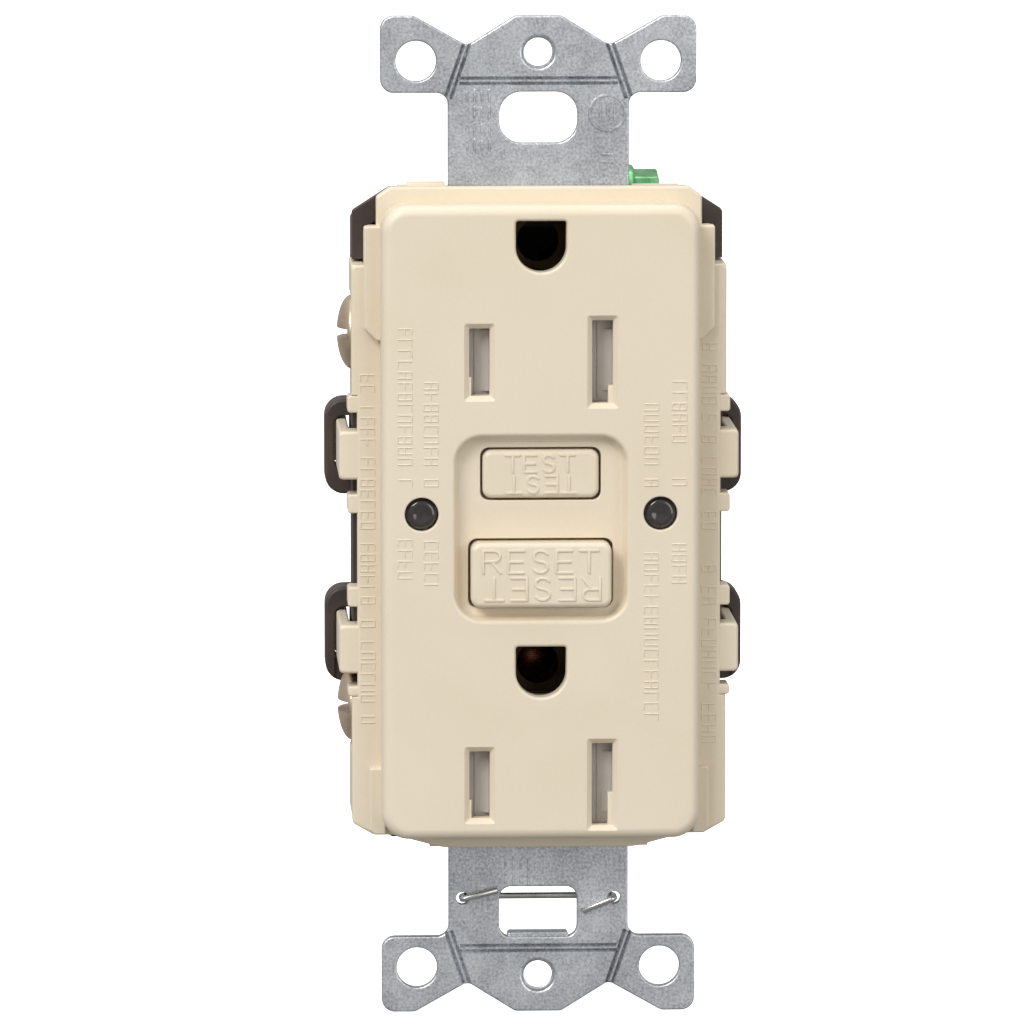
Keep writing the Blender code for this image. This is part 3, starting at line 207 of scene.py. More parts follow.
def ribbon(line: list[Point], width: float, cap_steps: int = 4) -> Outline:
    """Outline of a stroke of even width along a line, with round ends."""
    left: Outline = []
    right: Outline = []
    last = len(line) - 1
    for i, (u, v) in enumerate(line):
        ahead = unit(line[min(i + 1, last)][0] - line[max(i - 1, 0)][0],
                     line[min(i + 1, last)][1] - line[max(i - 1, 0)][1])
        bend = 1.0
        if 0 < i < last:
            first = unit(u - line[i - 1][0], v - line[i - 1][1])
            bend = max(0.5, ahead[0] * first[0] + ahead[1] * first[1])
        reach = width / 2 / bend
        left.append((u - ahead[1] * reach, v + ahead[0] * reach))
        right.append((u + ahead[1] * reach, v - ahead[0] * reach))
    caps = []
    for (u, v), (fu, fv) in ((line[-1], line[-2]), (line[0], line[1])):
        start = math.atan2(v - fv, u - fu) + math.pi / 2
        caps.append([(u + width / 2 * math.cos(start - math.pi * k / cap_steps),
                      v + width / 2 * math.sin(start - math.pi * k / cap_steps))
                     for k in range(1, cap_steps)])
    return left + caps[0] + right[::-1] + caps[1]


def quarter(radius: float, steps: int) -> list[Point]:
    """Distances in from the end and from the side at each facet of a quarter-round edge."""
    turns = [math.pi / 2 * k / steps for k in range(steps + 1)]
    return [(radius * (1 - math.cos(turn)), radius * (1 - math.sin(turn))) for turn in turns]


# ---- Solids in millimetres ---------------------------------------------------------------
Ring = list[bmesh.types.BMVert]


def stitch(shape: Solid, near: Ring, far: Ring) -> None:
    """Faces between two rings of as many points, or between a ring and a single point."""
    sides = max(len(near), len(far))
    for i in range(sides):
        j = (i + 1) % sides
        if len(near) == 1:
            shape.faces.new((near[0], far[j], far[i]))
        elif len(far) == 1:
            shape.faces.new((near[i], near[j], far[0]))
        else:
            shape.faces.new((near[i], near[j], far[j], far[i]))


def capped(shape: Solid, rings: list[Ring]) -> Solid:
    """Closes a row of rings into a solid with an end face at each side."""
    for near, far in zip(rings, rings[1:]):
        stitch(shape, near, far)
    shape.faces.new(rings[0])
    shape.faces.new(rings[-1])
    bmesh.ops.recalc_face_normals(shape, faces=shape.faces)
    return shape


def loft(axis: Axis, layers: list[tuple[float, Outline]]) -> Solid:
    """Closed solid through outlines of equal length, each with its place on the axis."""
    shape = bmesh.new()
    return capped(shape, [[shape.verts.new(axis.spot(along, u, v)) for u, v in outline]
                          for along, outline in layers])


def prism(axis: Axis, outline: Outline, low: float, high: float, low_edge: float = 0.0,
          high_edge: float = 0.0, steps: int = 3) -> Solid:
    """Straight solid whose two end edges are rounded.

    Args:
        axis: Direction that it stands along.
        outline: Its cross-section.
        low: Place of its first end on the axis.
        high: Place of its last end.
        low_edge: Radius of the rounding at the first end, or 0.
        high_edge: Radius of the rounding at the last end, or 0.
        steps: Facets across each rounding.

    Returns:
        The closed solid.
    """
    layers = []
    for end, edge, way in ((low, low_edge, 1), (high, high_edge, -1)):
        rim = [(end, outline)]
        if edge > 0:
            rim = [(end + way * deep, inset(outline, wide)) for deep, wide in quarter(edge, steps)]
        layers += rim if way > 0 else rim[::-1]
    return loft(axis, layers)


def block(x0: float, x1: float, y0: float, y1: float, z0: float, z1: float,
          edge: float = 0.0, corner: float = 0.0) -> Solid:
    """Box along y, with its upright corners and its end edges rounded if they are given."""
    outline = rectangle(x0, x1, z0, z1)
    if corner > 0:
        outline = rounded([(u, v, max(corner, 1.4 * edge)) for u, v in outline], 4)
    return prism(Axis.Y, outline, y0, y1, edge, edge)


def cutter(outline: Outline, front: float, back: float, front_lip: float,
           back_lip: float = 0.0, steps: int = 4, deep: float = 1.0) -> Solid:
    """Tool for a hole along y that leaves a rounded lip at one face or at both."""
    layers = [(front - deep, inset(outline, -front_lip))]
    layers += [(front + along, inset(outline, -out)) for along, out in quarter(front_lip, steps)]
    if back_lip > 0:
        layers += [(back - along, inset(outline, -out))
                   for out, along in quarter(back_lip, steps)]
        layers.append((back + deep, inset(outline, -back_lip)))
    else:
        layers.append((back, outline))
    return loft(Axis.Y, layers)


def turned(axis: Axis, cu: float, cv: float, profile: list[Point],
           sides: int = 64) -> Solid:
    """Solid of revolution from a closed profile of (place on axis, radius)."""
    shape = bmesh.new()
    rings = []
    for along, radius in profile:
        outline = circle(cu, cv, radius, sides) if radius > 0 else [(cu, cv)]
        rings.append([shape.verts.new(axis.spot(along, u, v)) for u, v in outline])
    for near, far in zip(rings, rings[1:] + rings[:1]):
        if len(near) > 1 or len(far) > 1:
            stitch(shape, near, far)
    bmesh.ops.recalc_face_normals(shape, faces=shape.faces)
    return shape


def softened(route: list[Spot], radius: float, steps: int = 6) -> list[Vector]:
    """Route whose corners are curves that start a given distance before each corner."""
    points = [Vector(spot) for spot in route]
    path = [points[0]]
    for before, corner, after in zip(points, points[1:], points[2:]):
        reach = min(radius, (before - corner).length / 2, (after - corner).length / 2)
        start = corner + (before - corner).normalized() * reach
        end = corner + (after - corner).normalized() * reach
        path += [start.lerp(corner, k / steps).lerp(corner.lerp(end, k / steps), k / steps)
                 for k in range(steps + 1)]
    return path + [points[-1]]


def wire(path: list[Vector], radius: float, sides: int = 14) -> Solid:
    """Round wire along a path, its two ends slightly rounded."""
    shape = bmesh.new()
    ahead = (path[1] - path[0]).normalized()
    across = ahead.orthogonal().normalized()
    stations = [(path[0], 0.72), (path[0] + ahead * radius * 0.3, 1.0)]
    stations += [(spot, 1.0) for spot in path[1:-1]]
    tail = (path[-1] - path[-2]).normalized()
    stations += [(path[-1] - tail * radius * 0.3, 1.0), (path[-1], 0.72)]
    rings = []
    for i, (spot, share) in enumerate(stations):
        nearby = (stations[min(i + 1, len(stations) - 1)][0] - stations[max(i - 1, 0)][0])
        ahead = nearby.normalized()
        across = (across - ahead * across.dot(ahead)).normalized()
        upward = ahead.cross(across)
        rings.append([shape.verts.new(spot + (across * math.cos(turn) + upward * math.sin(turn))
                                      * radius * share)
                      for turn in (2 * math.pi * k / sides for k in range(sides))])
    return capped(shape, rings)


def groove(start: Point, end: Point, y: float, width: float,
           depth: float) -> Solid:
    """Tool for a pressed score line in a flat face at y, with the solid behind it."""
    along = unit(end[0] - start[0], end[1] - start[1])
    side = (-along[1] * width / 2, along[0] * width / 2)
    shape = bmesh.new()
    clear = y - 0.2
    return capped(shape, [[shape.verts.new(spot) for spot in (
        (u + side[0], clear, v + side[1]), (u + side[0], y, v + side[1]), (u, y + depth, v),
        (u - side[0], y, v - side[1]), (u - side[0], clear, v - side[1]))]
        for u, v in (start, end)])


def as_mesh(name: str, shape: Solid) -> bpy.types.Mesh:
    """Mesh of a solid, which is then freed."""
    mesh = bpy.data.meshes.new(name)
    shape.to_mesh(mesh)
    shape.free()
    return mesh


def linked(name: str, data: bpy.types.ID) -> Thing:
    """New object in the scene for a mesh, a light or a camera."""
    thing = bpy.data.objects.new(name, data)
    bpy.context.scene.collection.objects.link(thing)
    return thing


def evaluated(thing: Thing) -> bpy.types.Mesh:
    """Plain mesh of an object with its modifiers applied."""
    bpy.context.view_layer.update()
    graph = bpy.context.evaluated_depsgraph_get()
    return bpy.data.meshes.new_from_object(thing.evaluated_get(graph))


def carved(adds: list[Solid],
           cuts: list[Solid] | None = None) -> Solid:
    """Joins the added solids into one and takes the cutting solids away from it."""
    body = linked("solid", as_mesh("solid", adds[0]))
    tools = []
    for operation, shapes in (("UNION", adds[1:]), ("DIFFERENCE", cuts or [])):
        for shape in shapes:
            tool = linked("solid", as_mesh("solid", shape))
            modifier = body.modifiers.new(operation.title(), "BOOLEAN")
            modifier.operation = operation
            modifier.solver = "EXACT"
            modifier.object = tool
            tools.append(tool)
    result = bmesh.new()
    result.from_object(body, bpy.context.evaluated_depsgraph_get())
    for thing in [body] + tools:
        bpy.data.objects.remove(thing, do_unlink=True)
    bmesh.ops.dissolve_limit(result, angle_limit=math.radians(0.1), verts=result.verts,
                             edges=result.edges)
    return result


def shaded(name: str, mesh: bpy.types.Mesh, finish: "Finish",
           sharp: float = 32.0) -> Thing:
    """Object of a mesh in metres, shaded smooth across its roundings and flat on its flats."""
    mesh.shade_smooth()
    mesh.set_sharp_from_angle(angle=math.radians(sharp))
    mesh.materials.clear()
    mesh.materials.append(finish.material())
    piece = linked(name, mesh)
    weighted = piece.modifiers.new("even", "WEIGHTED_NORMAL")
    weighted.keep_sharp = True
    weighted.weight = 80
    piece.data = evaluated(piece)
    piece.modifiers.clear()
    piece.data.name = name
    return piece


def made(name: str, shape: Solid, finish: "Finish",
         sharp: float = 32.0) -> Thing:
    """Object of a solid in millimetres, in its place."""
    for vert in shape.verts:
        vert.co *= MM
    return shaded(name, as_mesh(name, shape), finish, sharp)


def joined(shapes: list[Solid]) -> Solid:
    """Solids kept side by side in one mesh."""
    whole = shapes[0]
    for shape in shapes[1:]:
        mesh = as_mesh("solid", shape)
        whole.from_mesh(mesh)
        bpy.data.meshes.remove(mesh)
    return whole


# ---- Finishes ----------------------------------------------------------------------------
def srgb(code: str) -> Colour:
    """Linear colour of an sRGB hex value such as "#C0A080"."""
    parts = [int(code[i:i + 2], 16) / 255 for i in (1, 3, 5)]
    linear = [part / 12.92 if part <= 0.04045 else ((part + 0.055) / 1.055) ** 2.4
              for part in parts]
    return linear[0], linear[1], linear[2], 1.0


def per_metre(size_mm: float) -> float:
    """Texture scale at which one feature of a pattern measures size_mm."""
    return 1.0 / (size_mm * MM)


def add_node(tree: Tree, kind: str, settings: dict | None = None,
             inputs: dict | None = None) -> Node:
    """Adds a node.

    Args:
        tree: The tree that it goes in.
        kind: Blender's name for the node's type.
        settings: Values of its own settings, by name.
        inputs: A value or another node's output for each input, by name or place.

    Returns:
        The new node.
    """
    node = tree.nodes.new(kind)
    for name, value in (settings or {}).items():
        setattr(node, name, value)
    for key, value in (inputs or {}).items():
        if isinstance(value, Socket):
            tree.links.new(value, node.inputs[key])
        else:
            node.inputs[key].default_value = value
    return node


def noise(tree: Tree, place: Socket, size_mm: float, detail: float = 2.0,
          roughness: float = 0.5, distortion: float = 0.0) -> Socket:
    """Noise from 0 to 1 whose features measure size_mm."""
    return add_node(tree, "ShaderNodeTexNoise", inputs={
        "Vector": place, "Scale": per_metre(size_mm), "Detail": detail,
        "Roughness": roughness, "Distortion": distortion}).outputs["Fac"]


def spread(tree: Tree, value: Socket, low: float, high: float, to_low: float = 0.0,
           to_high: float = 1.0) -> Socket:
    """A value led from one range to another, and held at its ends."""
    return add_node(tree, "ShaderNodeMapRange", inputs={
        "Value": value, "From Min": low, "From Max": high, "To Min": to_low,
        "To Max": to_high}).outputs["Result"]


def blend(tree: Tree, share: Socket | float, first: Socket | Colour, second: Socket | Colour,
          kind: str = "MIX") -> Socket:
    """Colour between two by a share, or their product."""
    return add_node(tree, "ShaderNodeMix", {"data_type": "RGBA", "blend_type": kind},
                    {0: share, 6: first, 7: second}).outputs[2]


def calculated(tree: Tree, operation: str, *values: Socket | float) -> Socket:
    """Result of one sum on values or other nodes' outputs."""
    return add_node(tree, "ShaderNodeMath", {"operation": operation},
                    dict(enumerate(values))).outputs[0]


@dataclass(frozen=True)
class Finish:
    """What a surface is made of. The record's slot tells which pieces share it."""

    name: str
    slot: str

    def material(self) -> bpy.types.Material:
        """The finish's material, which is made once."""
        found = bpy.data.materials.get(self.name)
        if found is not None:
            return found
        material = bpy.data.materials.new(self.name)
        material.use_nodes = True
        tree = material.node_tree
        shader = tree.nodes["Principled BSDF"]
        place = add_node(tree, "ShaderNodeTexCoord").outputs["Object"]
        self.paint(tree, shader, place)
        return material

    def paint(self, tree: Tree, shader: Node, place: Socket) -> None:
        """Adds the finish's own nodes; each kind of finish has its own."""
        raise NotImplementedError

    def set_shader(self, tree: Tree, shader: Node, values: dict) -> None:
        """Gives shader inputs a constant or another node's output, by name."""
        for name, value in values.items():
            if isinstance(value, Socket):
                tree.links.new(value, shader.inputs[name])
            else:
                shader.inputs[name].default_value = value

    def set_relief(self, tree: Tree, shader: Node, height: Socket, depth_mm: float,
                   strength: float) -> None:
        """Leads a height pattern to the shader as a bump of a real depth."""
        bump = add_node(tree, "ShaderNodeBump", inputs={
            "Strength": strength, "Distance": depth_mm * MM, "Height": height})
        self.set_shader(tree, shader, {"Normal": bump.outputs["Normal"]})

    def gloss(self, tree: Tree, pattern: Socket, low: float, high: float) -> Socket:
        """A pattern about its middle, spread between two values of roughness."""
        return spread(tree, pattern, 0.3, 0.7, low, high)


@dataclass(frozen=True)
class MouldedPlastic(Finish):
    """Injection-moulded thermoplastic. A fine spark-eroded grain breaks up its gloss, and slow
    flow in the mould leaves its colour very slightly uneven."""

    colour: str
    flow_colour: str
    roughness: float = 0.42
    grain_mm: float = 0.34
    grain_depth_mm: float = 0.012
    flow_mm: float = 14.0
    ior: float = 1.53

    def paint(self, tree: Tree, shader: Node, place: Socket) -> None:
        """Two tones that drift, a grain in the gloss and the same grain as relief."""
        flow = noise(tree, place, self.flow_mm, 3.0, 0.45, 0.6)
        grain = noise(tree, place, self.grain_mm, 4.0, 0.6)
        colour = blend(tree, spread(tree, flow, 0.35, 0.65), srgb(self.colour),
                       srgb(self.flow_colour))
        fleck = spread(tree, grain, 0.25, 0.75, 0.965, 1.0)
        self.set_shader(tree, shader, {
            "Base Color": blend(tree, 1.0, colour, fleck, "MULTIPLY"), "IOR": self.ior,
            "Roughness": self.gloss(tree, grain, self.roughness - 0.05,
                                    self.roughness + 0.06)})
        self.set_relief(tree, shader, grain, self.grain_depth_mm, 0.6)


@dataclass(frozen=True)
class GalvanisedSteel(Finish):
    """Hot-dipped strap steel. Zinc crystals give a faint pale and dark spangle, the rolled sheet
    shows fine lines along it, and tiny pits speckle the dull surface."""

    dark: str
    pale: str
    roughness: float = 0.44
    spangle_mm: float = 1.3
    speck_mm: float = 0.3
    cloud_mm: float = 9.0

    def paint(self, tree: Tree, shader: Node, place: Socket) -> None:
        """Crystals, specks and clouds in the colour, with rolling lines in the relief."""
        bent = add_node(tree, "ShaderNodeTexNoise", inputs={
            "Vector": place, "Scale": per_metre(0.7), "Detail": 2.0})
        shifted = add_node(tree, "ShaderNodeVectorMath", {"operation": "MULTIPLY_ADD"}, {
            0: bent.outputs["Color"], 1: (0.5 * MM, 0.5 * MM, 0.5 * MM), 2: place})
        spangle = add_node(tree, "ShaderNodeTexVoronoi", {"feature": "F1"}, {
            "Vector": shifted.outputs[0], "Scale": per_metre(self.spangle_mm),
            "Randomness": 1.0})
        crystal = add_node(tree, "ShaderNodeSeparateColor", inputs={
            0: spangle.outputs["Color"]})
        speck = noise(tree, place, self.speck_mm, 5.0, 0.7)
        cloud = noise(tree, place, self.cloud_mm, 3.0)
        stretched = add_node(tree, "ShaderNodeMapping", inputs={
            "Vector": place, "Scale": (1.0, 1.0, 0.06)})
        rolled = noise(tree, stretched.outputs[0], 0.3, 3.0)
        mixed = calculated(tree, "MULTIPLY_ADD", crystal.outputs[0], 0.07, speck)
        clouded = calculated(tree, "MULTIPLY_ADD", cloud, 0.3, mixed)
        self.set_shader(tree, shader, {
            "Base Color": blend(tree, spread(tree, clouded, 0.5, 0.88), srgb(self.dark),
                                srgb(self.pale)),
            "Metallic": 1.0,
            "Roughness": self.gloss(tree, speck, self.roughness + 0.08,
                                    self.roughness - 0.07)})
        self.set_relief(tree, shader, calculated(tree, "MULTIPLY_ADD", rolled, 0.5, speck), 0.02,
                        0.8)


@dataclass(frozen=True)
class WorkedMetal(Finish):
    """Drawn, stamped or turned metal. Tool lines run one way along it, and a thin tarnished film
    or plating haze lies over it in patches; on the green screw and the ground sockets the patches
    are painted shade."""

    colour: str
    patch_tone: str
    roughness: float = 0.3
    line_mm: float = 0.12
    line_stretch: Spot = (1.0, 1.0, 0.05)
    patch_mm: float = 3.5

    def paint(self, tree: Tree, shader: Node, place: Socket) -> None:
        """Patches between two colours, with tool lines in gloss and relief."""
        patch = noise(tree, place, self.patch_mm, 4.0, 0.6, 0.4)
        stretched = add_node(tree, "ShaderNodeMapping", inputs={
            "Vector": place, "Scale": self.line_stretch})
        line = noise(tree, stretched.outputs[0], self.line_mm, 4.0, 0.65)
        uneven = calculated(tree, "MULTIPLY_ADD", patch, 0.35, line)
        self.set_shader(tree, shader, {
            "Base Color": blend(tree, spread(tree, patch, 0.42, 0.72), srgb(self.colour),
                                srgb(self.patch_tone)),
            "Metallic": 1.0,
            "Roughness": spread(tree, uneven, 0.45, 0.9, self.roughness - 0.07,
                                self.roughness + 0.1)})
        self.set_relief(tree, shader, line, 0.006, 0.5)


@dataclass(frozen=True)
class SmokedPolycarbonate(Finish):
    """Smoky light pipe. Its polished front is glossy, and faint facets inside catch the light."""

    colour: str
    roughness: float = 0.08

    def paint(self, tree: Tree, shader: Node, place: Socket) -> None:
        """Dark body with paler facets and a very slight waviness in the polish."""
        facet = add_node(tree, "ShaderNodeTexVoronoi", {"feature": "F1"}, {
            "Vector": place, "Scale": per_metre(0.45)})
        shade = spread(tree, facet.outputs["Distance"], 0.0, 0.8, 1.25, 0.7)
        wave = noise(tree, place, 1.1, 1.0)
        self.set_shader(tree, shader, {
            "Base Color": blend(tree, 1.0, srgb(self.colour), shade, "MULTIPLY"),
            "Roughness": self.gloss(tree, wave, self.roughness, self.roughness + 0.06),
            "IOR": 1.585, "Coat Weight": 0.6, "Coat Roughness": 0.05})
        self.set_relief(tree, shader, wave, 0.02, 0.4)


@dataclass(frozen=True)
class CastEpoxy(Finish):
    """Dipped or cast resin over a component: smooth, rounded and a little uneven in depth."""

    colour: str
    thin: str
    roughness: float = 0.28
    coat: float = 0.3

    def paint(self, tree: Tree, shader: Node, place: Socket) -> None:
        """Colour that thins in patches, under a soft gloss."""
        pool = noise(tree, place, 2.6, 3.0)
        self.set_shader(tree, shader, {
            "Base Color": blend(tree, spread(tree, pool, 0.4, 0.7), srgb(self.colour),
                                srgb(self.thin)),
            "Roughness": self.gloss(tree, pool, self.roughness, self.roughness + 0.12),
            "Coat Weight": self.coat, "Coat Roughness": 0.12})
        self.set_relief(tree, shader, pool, 0.03, 0.5)


@dataclass(frozen=True)
class SolderMask(Finish):
    """Lacquered glass-fibre laminate. The cloth weave shows through, and buried copper tracks
    make paler lanes under the lacquer."""

    lacquer: str
    track: str
    weave_mm: float = 0.55
    lane_mm: float = 1.6

    def paint(self, tree: Tree, shader: Node, place: Socket) -> None:
        """Tracks as blocks of a brick pattern, with a woven relief."""
        turned_place = add_node(tree, "ShaderNodeMapping", inputs={
            "Vector": place, "Rotation": (math.pi / 2, 0.0, 0.0)})
        lanes = add_node(tree, "ShaderNodeTexBrick", {"offset": 0.37, "squash": 0.6}, {
            "Vector": turned_place.outputs[0], "Scale": per_metre(self.lane_mm * 2),
            "Color1": (1.0, 1.0, 1.0, 1.0), "Color2": (0.7, 0.7, 0.7, 1.0),
            "Mortar": (0.0, 0.0, 0.0, 1.0), "Mortar Size": 0.12, "Brick Width": 2.4,
            "Row Height": 0.5})
        threads = [add_node(tree, "ShaderNodeTexWave", {"bands_direction": way}, {
            "Vector": place, "Scale": per_metre(self.weave_mm) / 20}).outputs["Fac"]
            for way in "XZ"]
        woven = calculated(tree, "MULTIPLY", *threads)
        self.set_shader(tree, shader, {
            "Base Color": blend(tree, lanes.outputs["Color"], srgb(self.lacquer),
                                srgb(self.track)),
            "Roughness": self.gloss(tree, woven, 0.3, 0.42)})
        self.set_relief(tree, shader, woven, 0.02, 0.4)


@dataclass(frozen=True)
class ClearResin(Finish):
    """Clear cast resin with a slight haze, as on a small lamp."""

    colour: str
    roughness: float = 0.12

    def paint(self, tree: Tree, shader: Node, place: Socket) -> None:
        """Haze in the gloss and thin streaks in the colour."""
        streak = noise(tree, place, 0.8, 2.0, 0.5, 1.0)
        shade = spread(tree, streak, 0.0, 1.0, 0.85, 1.0)
        self.set_shader(tree, shader, {
            "Base Color": blend(tree, 1.0, srgb(self.colour), shade, "MULTIPLY"),
            "Roughness": self.gloss(tree, streak, self.roughness, self.roughness + 0.1),
            "Transmission Weight": 0.6, "IOR": 1.54})


@dataclass(frozen=True)
class Palette:
    """Every finish of the receptacle."""

    # Moulded nylon of the cover: warm almond with a satin surface.
    almond: Finish = MouldedPlastic("moulded_almond_nylon", "almond_plastic", "#E6D9C3",
                                    "#E3D5BC", 0.4, 0.34, 0.010)
    # The push buttons are the same nylon from a polished mould, so they shine a little more.
    button: Finish = MouldedPlastic("moulded_almond_button", "almond_plastic", "#E6DAC4",
                                    "#E4D6BD", 0.33, 0.3, 0.006, 8.0)
    # Glass-filled rear shell: dark brown, with pale fibre specks that dull it.
    housing: Finish = MouldedPlastic("glass_filled_brown_polyamide", "brown_plastic", "#3B2F2A",
                                     "#463933", 0.5, 0.28, 0.022, 7.0)
    # Shutters: natural grey nylon, waxy and smooth from sliding.
    shutter: Finish = MouldedPlastic("sliding_grey_nylon", "grey_nylon", "#BDB7B1", "#C6C0BA",
                                     0.36, 0.4, 0.006, 5.0)
    # Inner frames: cream phenolic, matt and grainy.
    carrier: Finish = MouldedPlastic("cream_phenolic_moulding", "cream_phenolic", "#C9BCA4",
                                     "#BFB199", 0.55, 0.3, 0.02, 6.0)
    # Winding sleeve and can: shrunk vinyl, glossy and even.
    sleeve: Finish = MouldedPlastic("shrunk_vinyl_sleeve", "capacitor_sleeve", "#22303F",
                                    "#1C2834", 0.25, 0.5, 0.008, 3.0)
    film: Finish = MouldedPlastic("cast_polyester_box", "film_box", "#D8B03C", "#CFA634", 0.4,
                                  0.4, 0.012, 4.0)
    # Strap: hot-dipped zinc, grey with a fine pale and dark spangle.
    zinc: Finish = GalvanisedSteel("hot_dipped_zinc", "galvanised_steel", "#989BA0", "#F0F3F6")
    # Terminal screws and clamps: nickel over brass, warm where the plating is thin.
    nickel: Finish = WorkedMetal("nickel_plated_brass", "nickel_plate", "#DCCBB8", "#C9B298",
                                 0.3, 0.1, (0.05, 1.0, 1.0))
    brass: Finish = WorkedMetal("stamped_brass", "brass", "#E0BE78", "#B98F4C", 0.3)
    # Hot-side screws and clamps: brass under a thin pale plate.
    pale_brass: Finish = WorkedMetal("pale_plated_brass", "brass", "#E2CDB4", "#CDB294", 0.3,
                                     0.1, (0.05, 1.0, 1.0))
    # Ground sockets: brass painted near black with painted shade, as they sit deep inside the
    # body.
    brass_in_painted_shade: Finish = WorkedMetal("brass_with_painted_shade", "brass", "#4A3B2C", "#2E251C", 0.5)
    copper: Finish = WorkedMetal("rolled_copper", "copper", "#E0A07A", "#A8653F", 0.3)
    steel: Finish = WorkedMetal("bright_turned_steel", "bright_steel", "#C9CACC", "#A5A6A8",
                                0.26)
    spring: Finish = WorkedMetal("drawn_spring_steel", "spring_steel", "#C4C3BF", "#96948F",
                                 0.28, 0.08)
    # Ground screw: zinc plate dyed green, with a pale green of painted highlight and a dark green
    # of painted shade mixed in patches; the real screw is bright on the edges and dark in the
    # slot.
    green: Finish = WorkedMetal("green_dyed_zinc", "green_steel", "#8CD098", "#4C9A5C", 0.36,
                                0.14, (0.05, 1.0, 1.0), 1.4)
    smoke: Finish = SmokedPolycarbonate("smoked_polycarbonate", "smoke_lens", "#2E2827")
    epoxy: Finish = CastEpoxy("black_moulding_epoxy", "black_epoxy", "#1B1B1D", "#26262A", 0.36,
                              0.1)
    disc: Finish = CastEpoxy("blue_dipped_epoxy", "disc_coating", "#2A4A8C", "#3D63A8")
    core: Finish = CastEpoxy("powder_coated_core", "film_box", "#D9B544", "#E2C25C", 0.34)
    body: Finish = CastEpoxy("lacquered_resistor", "resistor_body", "#B79A72", "#C8AC84", 0.4)
    board: Finish = SolderMask("solder_mask_laminate", "board_laminate", "#1D4A2B", "#2E6B3F")
    resin: Finish = ClearResin("clear_lamp_resin", "led_resin", "#EDEDE6")


# ---- Patterns grown by Geometry Nodes ----------------------------------------------------
FLOAT, COUNT = "NodeSocketFloat", "NodeSocketInt"
GEOMETRY, SURFACE = "NodeSocketGeometry", "NodeSocketMaterial"


@dataclass
class Pattern:
    """A node tree that repeats a shape, with its sizes as named inputs in metres."""

    name: str
    inputs: dict[str, str]
    tree: Tree = field(init=False)
    entry: Node = field(init=False)

    def __post_init__(self) -> None:
        """Makes the tree with its sockets, then its own nodes."""
        self.tree = bpy.data.node_groups.new(self.name, "GeometryNodeTree")
        self.tree.interface.new_socket("Geometry", in_out="OUTPUT", socket_type=GEOMETRY)
        for name, kind in {**self.inputs, "Material": SURFACE}.items():
            self.tree.interface.new_socket(name, in_out="INPUT", socket_type=kind)
        self.entry = add_node(self.tree, "NodeGroupInput")
        self.finish(self.shape())

    def shape(self) -> Socket:
        """The pattern's geometry; each pattern has its own."""
        raise NotImplementedError

    def size(self, name: str) -> Socket:
        """The output that carries one named input."""
        return self.entry.outputs[name]

    def swept(self, line: Socket, sides: Socket | int, wire: str, caps: bool) -> Socket:
        """A line swept by a small circle whose radius is a named input."""
        section = add_node(self.tree, "GeometryNodeCurvePrimitiveCircle", inputs={
            "Resolution": sides, "Radius": self.size(wire)})
        return add_node(self.tree, "GeometryNodeCurveToMesh", inputs={
            "Curve": line, "Profile Curve": section.outputs[0], "Fill Caps": caps}).outputs[0]

    def finish(self, geometry: Socket) -> None:
        """Ends the tree with real geometry that has its material."""
        real = add_node(self.tree, "GeometryNodeRealizeInstances", inputs={
            "Geometry": geometry})
        dressed = add_node(self.tree, "GeometryNodeSetMaterial", inputs={
            "Geometry": real.outputs[0], "Material": self.size("Material")})
        add_node(self.tree, "NodeGroupOutput", inputs={"Geometry": dressed.outputs[0]})

    def grow(self, name: str, finish: Finish, sizes: dict, place: Matrix,
             sharp: float = 40.0) -> Thing:
        """Turns the pattern into a plain mesh in its place.

        Args:
            name: Name of the new piece.
            finish: What it is made of.
            sizes: A value for each named input.
            place: Where the pattern's own origin and +Z go, in metres.
            sharp: Angle in degrees above which an edge stays sharp.

        Returns:
            The finished piece.
        """
        holder = linked(name + "_grown", bpy.data.meshes.new(name + "_grown"))
        modifier = holder.modifiers.new("grow", "NODES")
        modifier.node_group = self.tree
        for item in self.tree.interface.items_tree:
            if item.item_type == "SOCKET" and item.in_out == "INPUT":
                value = finish.material() if item.name == "Material" else sizes[item.name]
                modifier[item.identifier] = value
        mesh = evaluated(holder)
        bpy.data.objects.remove(holder, do_unlink=True)
        mesh.transform(place)
        mesh.name = name
        return shaded(name, mesh, finish, sharp)


@dataclass
class CoilPattern(Pattern):
    """Round wire on a helix that climbs +Z."""

    name: str = "coil"
    inputs: dict[str, str] = field(default_factory=lambda: {
        "Turns": FLOAT, "Radius": FLOAT, "Height": FLOAT, "Wire Radius": FLOAT,
        "Points Per Turn": COUNT, "Sides": COUNT})

    def shape(self) -> Socket:
        """A spiral swept by a small circle, with closed ends."""
        line = add_node(self.tree, "GeometryNodeCurveSpiral", inputs={
            "Resolution": self.size("Points Per Turn"), "Rotations": self.size("Turns"),
            "Start Radius": self.size("Radius"), "End Radius": self.size("Radius"),
            "Height": self.size("Height")})
        return self.swept(line.outputs[0], self.size("Sides"), "Wire Radius", True)


